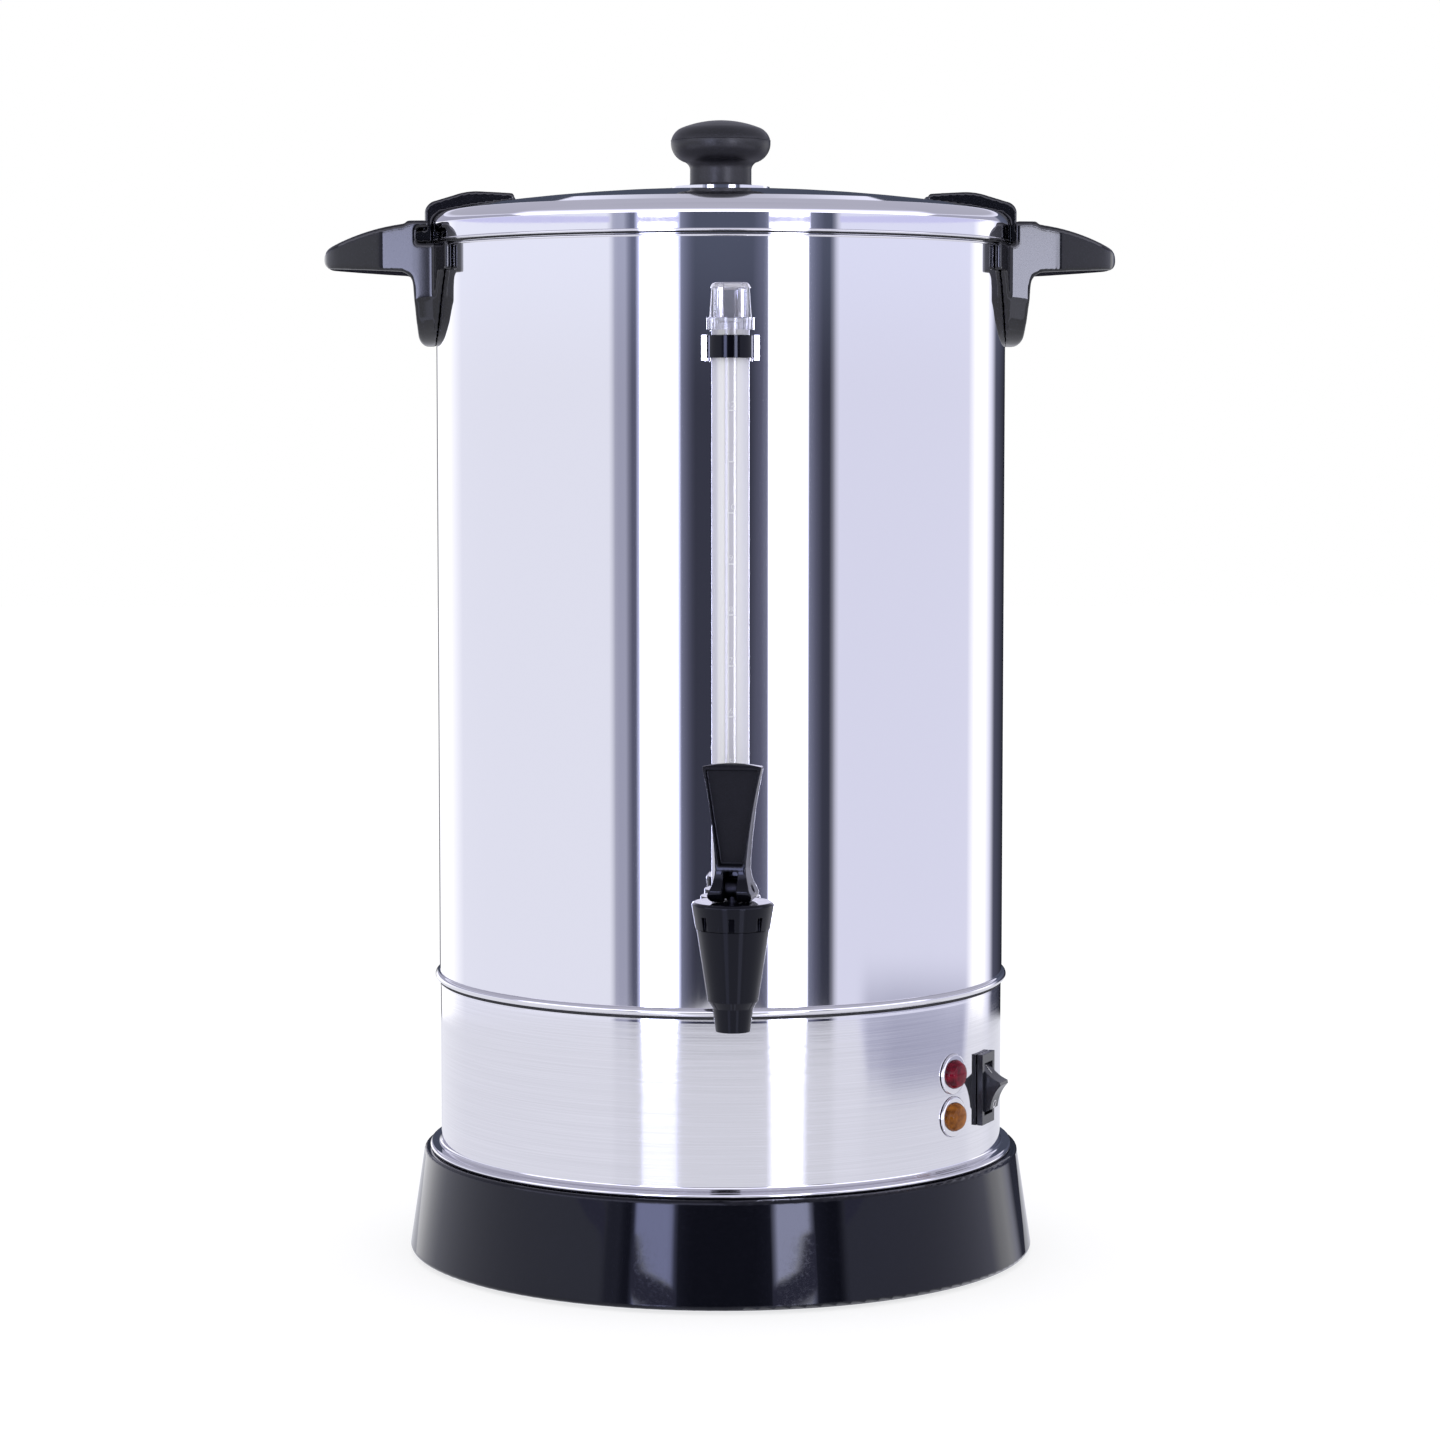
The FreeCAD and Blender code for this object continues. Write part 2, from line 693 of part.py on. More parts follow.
def make_skirt():
    """Black moulded skirt: a hollow cone with a shelf for the band and a ledge for the plate."""
    piece = turned("base_skirt", [
        ("skirt_inner", "skirt_drop"),
        ("skirt_base_radius - skirt_base_round", "skirt_drop"),
        ("skirt_base_radius - skirt_slope * skirt_base_round", "skirt_drop + skirt_base_round",
         "skirt_base_round"),
        ("skirt_top_radius + skirt_slope * skirt_top_round", "band_foot_height - skirt_top_round"),
        ("skirt_top_radius - skirt_top_round", "band_foot_height", "skirt_top_round"),
        ("skirt_shelf", "band_foot_height"),
        ("skirt_shelf", "band_foot_height - skirt_wall"),
        ("skirt_top_radius - skirt_wall", "band_foot_height - skirt_wall"),
        ("skirt_inner - skirt_slope * (ledge_top_z - skirt_drop)", "ledge_top_z"),
        ("ledge_inner", "ledge_top_z"),
        ("ledge_inner", "ledge_height"),
        ("skirt_inner - skirt_slope * (ledge_height - skirt_drop)", "ledge_height"),
    ])
    gland_hole = circle(sketch(piece, "XZ_Plane"), "0", "gland_height", "gland_body + seat_gap")
    pocket(piece, gland_hole)


def make_base_plate():
    """Steel plate with cooling slots that closes the base from below."""
    piece = turned("base_plate", tube_corners(
        "tie_radius + thread_gap", "plate_radius", "plate_z", "plate_top_z"))
    slot = sketch(piece, "XY_Plane", out="plate_z")
    half = "plate_slot_width / 2"
    outline(slot, [
        ("plate_slot_end", f"-{half}"), ("plate_slot_end + " + half, "0", half),
        ("plate_slot_end", half, half), ("plate_slot_start", half),
        ("plate_slot_start - " + half, "0", half), ("plate_slot_start", f"-{half}", half)])
    cut = pocket(piece, slot, "plate_wall", Reversed=True)
    repeat_round(piece, cut, "plate_slots")
    for across, up in foot_places():
        hole = sketch(piece, "XY_Plane", out="plate_z")
        circle(hole, across, up, "foot_screw_radius + thread_gap")
        pocket(piece, hole, "plate_wall", Reversed=True)


def foot_places():
    """Centres of the four feet, between the front, back and side directions."""
    reach = "foot_circle / sqrt(2)"
    return [(f"{east} * {reach}", f"{north} * {reach}") for east in (-1, 1) for north in (-1, 1)]


def group(name, pieces):
    """Joins identical separate solids in one node."""
    compound = doc.addObject("Part::Compound", name)
    compound.Label = name
    compound.Links = pieces
    doc.recompute()
    return keep(name, compound)


def make_feet():
    """Four rubber feet screwed up into the plate."""
    feet = []
    screws = []
    for number, (across, up) in enumerate(foot_places(), start=1):
        foot = body(f"foot_{number}")
        revolve(foot, outline(sketch(foot, "XZ_Plane"), [
            ("foot_screw_radius + seat_gap", "foot_recess"),
            ("foot_head_radius + free_gap", "foot_recess"),
            ("foot_head_radius + free_gap", "0"),
            ("foot_radius - 1", "0"),
            ("foot_radius", "1", "1"),
            ("foot_radius - 0.8", "plate_z"),
            ("foot_screw_radius + seat_gap", "plate_z")]))
        screw = body(f"foot_screw_{number}")
        revolve(screw, outline(sketch(screw, "XZ_Plane"), [
            ("0", "foot_recess - foot_head_height"),
            ("foot_head_radius", "foot_recess - foot_head_height"),
            ("foot_head_radius", "foot_recess"),
            ("foot_screw_radius", "foot_recess"),
            ("foot_screw_radius", "plate_top_z + plate_wall"),
            ("0", "plate_top_z + plate_wall")]))
        for piece in (foot, screw):
            piece.setExpression(".Placement.Base.x", bind(across))
            piece.setExpression(".Placement.Base.y", bind(up))
        feet.append(foot)
        screws.append(screw)
    group("rubber_feet", feet)
    group("foot_screws", screws)


def make_tie():
    """Threaded rod from under the floor through the plate, and its nut."""
    turned("tie_rod", [
        ("0", "tie_end_height"), ("tie_radius", "tie_end_height"),
        ("tie_radius", "heater_z"), ("0", "heater_z")])
    nut = body("tie_nut")
    drawing = hexagon(sketch(nut, "XY_Plane", out="plate_z - tie_nut_height"), "0", "tie_nut_flats")
    circle(drawing, "0", "0", "tie_radius + pin_gap")
    pad(nut, drawing, "tie_nut_height")
    keep("tie_nut", nut)


def make_heating():
    """Heater plate under the floor with the boiling ring and the keep-warm ring below it."""
    turned("heater_plate", [
        ("0", "heater_z"), ("heater_radius - 1", "heater_z"), ("heater_radius", "heater_z + 1", "1"),
        ("heater_radius", "heater_top_z"), ("0", "heater_top_z")])
    ring = body("heater_element")
    centre = "heater_z - element_radius"
    profile = circle(sketch(ring, "XZ_Plane"), "element_ring", centre, "element_radius")
    revolve(ring, profile, Angle="360 - element_open", Midplane=True)
    for side in ("1", "-1"):
        angle = f"180 - {side} * element_open / 2"
        tail = sketch(ring, "XY_Plane", out=f"{centre}")
        circle(tail, f"element_ring * cos({angle})", f"element_ring * sin({angle})", "element_radius")
        pad(ring, tail, "element_tail", Reversed=True)
    keep("heater_element", ring)
    warm = body("keep_warm_element")
    profile = circle(sketch(warm, "XZ_Plane"), "warm_ring", "heater_z - warm_radius", "warm_radius")
    revolve(warm, profile)
    keep("keep_warm_element", warm)


def make_thermostats():
    """Two round switches clamped under the heater plate, one on each side of the tie rod."""
    flange = "thermostat_flange"
    low = "heater_z - thermostat_height"
    boil = turned("boil_thermostat", [
        ("0", low), ("thermostat_radius - 1.5", low), ("thermostat_radius - 1.5", f"heater_z - {flange}"),
        ("thermostat_radius", f"heater_z - {flange}"), ("thermostat_radius", "heater_z"),
        ("0", "heater_z")])
    boil.setExpression(".Placement.Base.x", bind("-thermostat_circle"))
    low = "heater_z - cutout_height"
    cutout = turned("overheat_cutout", [
        ("0", f"{low} - cutout_button"), ("cutout_button", f"{low} - cutout_button"),
        ("cutout_button", low), ("cutout_radius - 1", low), ("cutout_radius - 1", f"heater_z - {flange}"),
        ("cutout_radius", f"heater_z - {flange}"), ("cutout_radius", "heater_z"), ("0", "heater_z")])
    cutout.setExpression(".Placement.Base.x", bind("thermostat_circle"))


def make_shield():
    """Thin dish on the tie rod that keeps the heat off the wiring, with a collar as its seat."""
    turned("heat_shield", [
        ("tie_radius + thread_gap", "shield_height"),
        ("shield_radius - shield_wall", "shield_height"),
        ("shield_radius - shield_wall", "shield_height - shield_rim"),
        ("shield_radius", "shield_height - shield_rim"),
        ("shield_radius", "shield_height + shield_wall"),
        ("tie_radius + thread_gap", "shield_height + shield_wall")])
    nut = body("shield_nut")
    drawing = hexagon(sketch(nut, "XY_Plane", out="shield_height - tie_nut_height"), "0", "tie_nut_flats")
    circle(drawing, "0", "0", "tie_radius + pin_gap")
    pad(nut, drawing, "tie_nut_height")
    keep("shield_nut", nut)


def make_terminal_block():
    """Porcelain block on the plate where the cord meets the switch and the heater wires."""
    piece = body("terminal_block")
    base = sketch(piece, "XY_Plane", out="plate_top_z")
    box_outline(base, "-terminal_length / 2", "terminal_length / 2",
                "terminal_offset - terminal_width / 2", "terminal_offset + terminal_width / 2")
    pad(piece, base, "terminal_tall")
    way = "terminal_length / terminal_ways"
    for number in range(int(SIZES["terminal_ways"])):
        hole = sketch(piece, "XZ_Plane")
        centre = f"({number} - (terminal_ways - 1) / 2) * {way}"
        circle(hole, centre, "plate_top_z + terminal_tall / 2", "2.2")
        pocket(piece, hole, Midplane=True)
        well = sketch(piece, "XY_Plane", out="plate_top_z + terminal_tall")
        circle(well, centre, "terminal_offset", "2.2")
        pocket(piece, well, "terminal_tall / 2")
    keep("terminal_block", piece)


def make_gland():
    """Rubber gland in the back of the skirt; its bore takes the mains cord."""
    piece = body("cord_gland", azimuth="180")
    front = "-(skirt_base_radius + 1)"
    flange = sketch(piece, "YZ_Plane", up="gland_height")
    outline(flange, [
        (front, "gland_bore"), (f"{front} + 10", "gland_bore"), (f"{front} + 10", "gland_flange"),
        (f"{front} + 1", "gland_flange"), (front, "gland_flange - 1", "1")])
    revolve(piece, flange, axis="H_Axis")
    wall = sketch(piece, "XZ_Plane")
    low, high = "gland_height - 15", "gland_height + 15"
    outline(wall, [
        ("50", low), (f"skirt_base_radius + seat_gap - skirt_slope * ({low} - skirt_drop)", low),
        (f"skirt_base_radius + seat_gap - skirt_slope * ({high} - skirt_drop)", high), ("50", high)])
    groove(piece, wall)
    neck = sketch(piece, "YZ_Plane", up="gland_height")
    inside = f"{front} + gland_flange_thick + gland_inside"
    box_outline(neck, f"{front} + 2", inside, "gland_bore", "gland_body")
    revolve(piece, neck, axis="H_Axis")
    keep("cord_gland", piece)


def make_switch():
    """Rocker switch: a bezel and box snapped into the band, and a tent-shaped rocker."""
    housing = body("switch_housing", azimuth="switch_azimuth")
    half_height = "switch_body_tall / 2"
    bezel = sketch(housing, "XZ_Plane", out="bezel_back")
    box_outline(bezel, "-bezel_width / 2", "bezel_width / 2",
                "switch_height - bezel_tall / 2", "switch_height + bezel_tall / 2")
    pad(housing, bezel, "bezel_thick")
    box = sketch(housing, "XZ_Plane", out="bezel_back")
    box_outline(box, "-switch_body_width / 2", "switch_body_width / 2",
                f"switch_height - {half_height}", f"switch_height + {half_height}")
    pad(housing, box, "switch_body_depth", Reversed=True)
    cavity = sketch(housing, "XZ_Plane", out="bezel_face")
    box_outline(cavity, "-rocker_width / 2 - free_gap", "rocker_width / 2 + free_gap",
                "switch_height - rocker_end - rocker_gap", "switch_height + rocker_end + rocker_gap")
    pocket(housing, cavity, "cavity_depth")
    sockets = sketch(housing, "YZ_Plane")
    circle(sockets, "-pivot_r", "switch_height", "rocker_axle + pin_gap")
    pocket(housing, sockets, "rocker_width + 2 * free_gap + 2 * rocker_axle_reach", Midplane=True)
    keep("switch_housing", housing)

    rocker = body("switch_rocker", azimuth="switch_azimuth")
    profile = sketch(rocker, "YZ_Plane", across="-pivot_r", up="switch_height", spin="-rocker_throw / 2")
    shoulder = "sqrt(rocker_end^2 - 25)"
    heel = "sqrt(rocker_end^2 - 4)"
    outline(profile, [
        ("-rocker_apex", "-rocker_ridge"),
        ("-5", f"-{shoulder}", "rocker_hollow", "right"),
        ("2", f"-{heel}", "rocker_end"),
        ("5", "-6"), ("5", "6"), ("2", heel),
        ("-5", shoulder, "rocker_end"),
        ("-rocker_apex", "rocker_ridge", "rocker_hollow", "right")])
    pad(rocker, profile, "rocker_width", Midplane=True)
    axle = sketch(rocker, "YZ_Plane")
    circle(axle, "-pivot_r", "switch_height", "rocker_axle")
    pad(rocker, axle, "rocker_width + 2 * rocker_axle_reach", Midplane=True)
    keep("switch_rocker", rocker)


def make_lamps():
    """Two pilot lamps: a tapered lens in a thin ring, with the lamp's barrel behind the band."""
    ring_back = "-band_radius - seat_gap"
    for colour, height in (("red", "red_lamp_height"), ("amber", "amber_lamp_height")):
        lens = body(f"{colour}_lens", azimuth="lamp_azimuth")
        profile = sketch(lens, "YZ_Plane", up=height)
        front = "-lamp_face - lens_cylinder"
        outline(profile, [
            (f"{front} - lens_cone", "0"), ("-band_radius + 4", "0"),
            ("-band_radius + 4", "lens_radius"), (front, "lens_radius"),
            (f"{front} - lens_cone", "lens_face_radius")])
        revolve(lens, profile, axis="H_Axis")
        keep(f"{colour}_lens", lens)
        bezel = body(f"{colour}_lamp_bezel", azimuth="lamp_azimuth")
        profile = sketch(bezel, "YZ_Plane", up=height)
        outline(profile, [
            ("-lamp_face", "lens_radius + seat_gap"), (ring_back, "lens_radius + seat_gap"),
            (ring_back, "lamp_bezel_radius"),
            ("-lamp_face", "lamp_bezel_radius - lamp_bezel_thick", "lamp_bezel_thick")])
        revolve(bezel, profile, axis="H_Axis")
        keep(f"{colour}_lamp_bezel", bezel)
        barrel = body(f"{colour}_lamp_body", azimuth="lamp_azimuth")
        profile = sketch(barrel, "YZ_Plane", up=height)
        outline(profile, [
            ("-band_radius + 4", "0"), ("-band_radius + 4 + lamp_body_depth", "0"),
            ("-band_radius + 4 + lamp_body_depth", "lamp_body_radius - 1"),
            ("-band_radius + 5", "lamp_body_radius"), ("-band_radius + 4", "lamp_body_radius")])
        revolve(barrel, profile, axis="H_Axis")
        keep(f"{colour}_lamp_body", barrel)


def make_handles():
    """Two like handles, one turned half round: a lobe on a leg, a pad and a hook bar."""
    for side, azimuth in (("right", "0"), ("left", "180")):
        piece = body(f"handle_{side}", azimuth=azimuth)
        lobe = sketch(piece, "XZ_Plane")
        outline(lobe, [
            ("tank_radius - 5", "toe_z"),
            ("leg_toe - 3", "toe_z"),
            ("leg_toe", "toe_z + toe_round - 1", "toe_round"),
            ("leg_outer", "under_z - handle_armpit"),
            ("leg_outer + handle_armpit", "under_z", "handle_armpit", "right"),
            ("handle_tip - 3", "tip_under_z"),
            ("handle_tip", "tip_under_z + toe_round - 1", "toe_round"),
            ("handle_tip - 3", "deck_z - handle_tip_top", "handle_tip_round"),
            ("handle_bar_outer + 1", "deck_z + handle_root_height", "handle_top_sweep"),
            ("handle_bar_outer", "bar_top_z"),
            ("tank_radius - 5", "bar_top_z")])
        pad(piece, lobe, "2 * handle_half + 4", Midplane=True)
        plan = sketch(piece, "XY_Plane", out="toe_z - 5")
        box_outline(plan, "tank_radius - 20", "handle_tip + 10", "-handle_half - 10", "handle_half + 10")
        outline(plan, [
            ("tank_radius - 8", "-handle_half"),
            ("tank_radius", "-handle_half"),
            ("nose_x", "-nose_y", "side_arc"),
            ("handle_tip", "0", "handle_nose"),
            ("nose_x", "nose_y", "handle_nose"),
            ("tank_radius", "handle_half", "side_arc"),
            ("tank_radius - 8", "handle_half")])
        pocket(piece, plan, Reversed=True)
        shell = sketch(piece, "XZ_Plane")
        box_outline(shell, "handle_inner - 1", "handle_inner + pad_thick", "toe_z", "deck_z")
        revolve(piece, shell, Angle="2 * pad_half_angle", Midplane=True)
        tongue = sketch(piece, "YZ_Plane")
        outline(tongue, [
            ("-80", "pad_z"), ("-80", "toe_z - 5"), ("80", "toe_z - 5"), ("80", "pad_z"),
            ("tongue_top_half", "pad_z"),
            ("tongue_low_half", "deck_z - tongue_low"),
            ("0", "toe_z + 0.2", "tongue_round", "right"),
            ("-tongue_low_half", "deck_z - tongue_low", "tongue_round", "right"),
            ("-tongue_top_half", "pad_z")])
        pocket(piece, tongue, Reversed=True)
        clearance = sketch(piece, "XZ_Plane")
        outline(clearance, [
            ("10", "toe_z - 10"), ("handle_inner", "toe_z - 10"), ("handle_inner", "deck_z"),
            ("bar_inner", "deck_z"), ("bar_inner", "bar_top_z + 10"), ("10", "bar_top_z + 10")])
        groove(piece, clearance)
        stop_angle = "ear_angle / 2 + 0.6"
        slot = sketch(piece, "XZ_Plane", turn=f"(28 - ({stop_angle})) / 2")
        box_outline(slot, "bar_inner - 2", "slot_outer", "deck_z", "slot_top_z")
        groove(piece, slot, Angle=f"28 + {stop_angle}", Midplane=True)
        for depth in ("handle_screw_low", "handle_screw_high"):
            hole = sketch(piece, "YZ_Plane")
            circle(hole, "0", f"deck_z - {depth}", "handle_screw_radius + pin_gap")
            pocket(piece, hole, "handle_inner + handle_screw_grip + seat_gap", Reversed=True)
        keep(f"handle_{side}", piece)


def make_handle_screws():
    """Four pan-head screws from inside the tank into the handles."""
    screws = []
    head = "tank_radius - tank_wall - seat_gap - 0.05"
    for side, azimuth in (("right", "90"), ("left", "-90")):
        for place in ("low", "high"):
            screw = body(f"handle_screw_{side}_{place}", azimuth=azimuth)
            profile = sketch(screw, "YZ_Plane", up=f"deck_z - handle_screw_{place}")
            outline(profile, [
                ("-(handle_inner + handle_screw_grip)", "0"),
                (f"-({head} - handle_head_height)", "0"),
                (f"-({head} - handle_head_height)", "handle_head_radius - 1"),
                (f"-({head} - handle_head_height + 1)", "handle_head_radius", "1", "right"),
                (f"-({head})", "handle_head_radius"),
                (f"-({head})", "handle_screw_radius"),
                ("-(handle_inner + handle_screw_grip)", "handle_screw_radius")])
            revolve(screw, profile, axis="H_Axis")
            screws.append(screw)
    group("handle_screws", screws)


def make_lid():
    """Pressed lid with a skirt over the rim, a raised boss for the knob and steam vents."""
    piece = turned("lid_shell", [
        ("knob_screw_radius + thread_gap", "boss_z - lid_wall"),
        ("boss_radius - lid_wall", "boss_z - lid_wall"),
        ("boss_radius - lid_wall", "boss_foot_z - lid_wall"),
        ("lid_dome_start", "dome_z - lid_wall", "lid_dome_radius", "right"),
        ("lid_bend_r + (lid_shoulder - lid_wall) * sin(lid_slope)",
         "lid_skirt_z + (lid_shoulder - lid_wall) * cos(lid_slope)"),
        ("lid_radius - lid_wall", "lid_skirt_z", "lid_shoulder - lid_wall", "right"),
        ("lid_radius - lid_wall", "lid_edge_z"),
        ("lid_radius", "lid_edge_z"),
        ("lid_radius", "lid_skirt_z"),
        ("lid_slope_r", "lid_slope_z", "lid_shoulder"),
        ("lid_dome_start", "dome_z"),
        ("boss_radius", "boss_foot_z", "lid_dome_radius"),
        ("boss_radius", "boss_z"),
        ("knob_screw_radius + thread_gap", "boss_z")])
    vent = circle(sketch(piece, "XY_Plane", out="lid_edge_z"), "0", "vent_circle", "vent_radius")
    cut = pocket(piece, vent, Reversed=True)
    repeat_round(piece, cut, "vent_count")
    for side in ("1", "-1"):
        for spread in ("1", "-1"):
            hole = sketch(piece, "XY_Plane", out="lid_edge_z")
            circle(hole, f"{side} * ear_screw_circle", f"{spread} * ear_screw_spread",
                   "ear_screw_radius + thread_gap")
            pocket(piece, hole, Reversed=True)
    turned("lid_seal", [
        ("seal_inner", "rim_z + free_gap"),
        ("lid_radius - lid_wall - free_gap", "rim_z + free_gap"),
        ("lid_radius - lid_wall - free_gap", "lid_skirt_z"),
        ("lid_bend_r + (lid_shoulder - lid_wall - free_gap) * sin(lid_slope)",
         "lid_skirt_z + (lid_shoulder - lid_wall - free_gap) * cos(lid_slope)",
         "lid_shoulder - lid_wall - free_gap"),
        ("seal_inner", "lid_skirt_z + (lid_shoulder - lid_wall - free_gap) * cos(lid_slope)")])


def make_knob():
    """Mushroom knob with a parting line at its widest place, and the screw that holds it."""
    turned("lid_knob", [
        ("0", "boss_z + knob_screw_grip + 1"),
        ("knob_screw_radius + pin_gap", "boss_z + knob_screw_grip + 1"),
        ("knob_screw_radius + pin_gap", "boss_z"),
        ("knob_neck + 0.5", "boss_z"),
        ("knob_neck", "boss_z + 1.5"),
        ("knob_neck", "boss_z + knob_foot_height"),
        ("knob_neck + 3", "boss_z + knob_foot_height + 3.4", "4", "right"),
        ("knob_radius", "boss_z + knob_edge", "8.5"),
        ("knob_radius - 4.8", "boss_z + knob_height - 3.2", "7.5"),
        ("0", "boss_z + knob_height", "((knob_radius - 4.8)^2 + 3.2^2) / 6.4")])
    turned("knob_screw", [
        ("0", "boss_z - lid_wall - knob_head_height"),
        ("knob_head_radius - 1", "boss_z - lid_wall - knob_head_height"),
        ("knob_head_radius", "boss_z - lid_wall - knob_head_height + 1", "1"),
        ("knob_head_radius", "boss_z - lid_wall"),
        ("knob_screw_radius", "boss_z - lid_wall"),
        ("knob_screw_radius", "boss_z + knob_screw_grip"),
        ("0", "boss_z + knob_screw_grip")])


def make_ears():
    """Two bayonet ears that follow the lid's section round the rim, with screws from below."""
    screws = []
    for side, azimuth in (("right", "0"), ("left", "180")):
        piece = body(f"ear_{side}", azimuth=azimuth)
        profile = sketch(piece, "XZ_Plane")
        outline(profile, [
            ("ear_tip", "ear_tip_z"),
            ("lid_dome_start", "ear_crown_z", "lid_dome_radius", "right"),
            ("lid_slope_r", "lid_slope_z + free_gap"),
            ("ear_inner", "lid_skirt_z", "lid_shoulder + free_gap", "right"),
            ("ear_inner", "ear_foot_z"),
            ("ear_foot_r", "ear_foot_z"),
            ("ear_foot_r", "ear_foot_z + ear_foot_height"),
            ("ear_outer", "ear_foot_z + ear_foot_height"),
            ("ear_outer", "lid_slope_z + 0.6"),
            ("ear_outer - ear_corner", "lid_slope_z + 0.6 + ear_corner", "ear_corner + 1"),
            ("ear_brow", "dome_z + ear_brow_height - 1.8"),
            ("ear_peak", "dome_z + ear_peak_height + 0.4", "30"),
            ("ear_tip + 1.2", "ear_tip_z + ear_tip_height"),
            ("ear_tip", "ear_tip_z + ear_tip_height - 1.6", "1.8")])
        revolve(piece, profile, Angle="ear_angle", Midplane=True)
        for spread in ("1", "-1"):
            hole = sketch(piece, "XY_Plane", out="lid_edge_z")
            circle(hole, "ear_screw_circle", f"{spread} * ear_screw_spread",
                   "ear_screw_radius + pin_gap")
            pocket(piece, hole, "dome_z + ear_screw_grip + 0.3 - lid_edge_z", Reversed=True)
        keep(f"ear_{side}", piece)
        for spread in ("1", "-1"):
            screw = body(f"ear_screw_{side}_{'near' if spread == '-1' else 'far'}", azimuth="0")
            low = "dome_z - lid_wall - 0.35"
            revolve(screw, outline(sketch(screw, "XZ_Plane"), [
                ("0", f"{low} - ear_head_height"), ("ear_head_radius", f"{low} - ear_head_height"),
                ("ear_head_radius", low), ("ear_screw_radius", low),
                ("ear_screw_radius", "dome_z + ear_screw_grip"), ("0", "dome_z + ear_screw_grip")]))
            sign = "1" if side == "right" else "-1"
            screw.setExpression(".Placement.Base.x", bind(f"{sign} * ear_screw_circle"))
            screw.setExpression(".Placement.Base.y", bind(f"{spread} * ear_screw_spread"))
            screws.append(screw)
    group("ear_screws", screws)


def make_tap_body():
    """Moulded tap: a tapered body with a stepped spout and a shank through fitting and wall."""
    piece = body("tap_body", forward="tap_reach")
    revolve(piece, outline(sketch(piece, "XZ_Plane"), [
        ("0", "spout_height"), ("spout_radius", "spout_height"),
        ("nozzle_radius", "nozzle_z"), ("cone_radius", "cone_z"),
        ("tap_shoulder", "tap_shoulder_height"), ("tap_neck", "tap_shoulder_height"),
        ("tap_neck", "tap_neck_z"), ("0", "tap_neck_z")]))
    shank = circle(sketch(piece, "XZ_Plane"), "0", "shank_height", "shank_radius")
    pad(piece, shank, "tap_reach - shank_end", Reversed=True)
    flange = sketch(piece, "XZ_Plane", out="-(tap_reach - fitting_front)")
    circle(flange, "0", "shank_height", "tap_flange")
    pad(piece, flange, "tap_flange_thick")
    groove(piece, outline(sketch(piece, "XZ_Plane"), [
        ("0", "spout_height"), ("spout_bore", "spout_height"), ("spout_bore", "seat_height"),
        ("chamber_radius", "seat_height"), ("chamber_radius", "tap_neck_z"), ("0", "tap_neck_z")]))
    bore = circle(sketch(piece, "XZ_Plane"), "0", "shank_height", "shank_bore")
    pocket(piece, bore)
    riser = sketch(piece, "XY_Plane", out="shank_height")
    circle(riser, "0", "tap_reach - gauge_reach", "passage_radius")
    pocket(piece, riser, "shank_radius + 1", Reversed=True)
    keep("tap_body", piece)


def make_bonnet():
    """Screwed collar that closes the tap body, with short grip notches round its lower part."""
    piece = turned("tap_bonnet", [
        ("tap_neck + free_gap", "bonnet_z"),
        ("bonnet_low_radius", "bonnet_z"),
        ("bonnet_top_radius", "bonnet_top_z - 1.4"),
        ("bonnet_top_radius - 1", "bonnet_top_z", "1.6"),
        ("stem_radius + stem_gap", "bonnet_top_z"),
        ("stem_radius + stem_gap", "bonnet_roof_z"),
        ("tap_neck + free_gap", "bonnet_roof_z")], forward="tap_reach")
    notch = sketch(piece, "XY_Plane", out="bonnet_z", spin="bonnet_stop")
    box_outline(notch, "bonnet_low_radius - bonnet_notch_depth", "bonnet_top_radius + 2",
                "-bonnet_notch_width / 2", "bonnet_notch_width / 2")
    cut = pocket(piece, notch, "bonnet_notch_tall", Reversed=True)
    repeat_round(piece, cut, "bonnet_notches")


def make_stem():
    """Stem with a flat head for the pin, the silicone cup that seats and the closing spring."""
    stem = body("tap_stem", azimuth="lever_turn", forward="tap_reach")
    revolve(stem, outline(sketch(stem, "XZ_Plane"), [
        ("0", "cup_z + 1"), ("stem_radius", "cup_z + 1"),
        ("stem_radius", "pin_z"), ("0", "pin_z")]))
    head = sketch(stem, "YZ_Plane")
    circle(head, "0", "pin_z", "head_half")
    pad(stem, head, "head_thick", Midplane=True)
    eye = circle(sketch(stem, "YZ_Plane"), "0", "pin_z", "pin_radius + pin_gap")
    pocket(stem, eye, Midplane=True)
    keep("tap_stem", stem)
    turned("tap_seat_cup", [
        ("0", "cup_z"), ("cup_plug - 1", "cup_z"), ("cup_plug", "cup_z + 1", "1"),
        ("cup_plug", "cup_z + cup_plug_height - 1"),
        ("cup_neck", "cup_z + cup_plug_height + 1"),
        ("cup_neck", "cup_top_z - cup_lip_height - 2"),
        ("cup_lip", "cup_top_z - cup_lip_height"),
        ("cup_lip", "cup_top_z"),
        ("stem_radius + pin_gap", "cup_top_z"),
        ("stem_radius + pin_gap", "cup_z + 1"),
        ("0", "cup_z + 1")], forward="tap_reach")
    spring = body("tap_spring", forward="tap_reach")
    wire = sketch(spring, "XZ_Plane")
    low = "cup_top_z + spring_wire + seat_gap"
    circle(wire, "spring_radius", low, "spring_wire")
    rise = "(bonnet_roof_z - cup_top_z - 2 * spring_wire - 2 * seat_gap)"
    feature(spring, "AdditiveHelix", wire, ReferenceAxis=(wire, ["V_Axis"]), Mode=0,
            Pitch=f"{rise} / spring_turns", Height=rise)
    keep("tap_spring", spring)


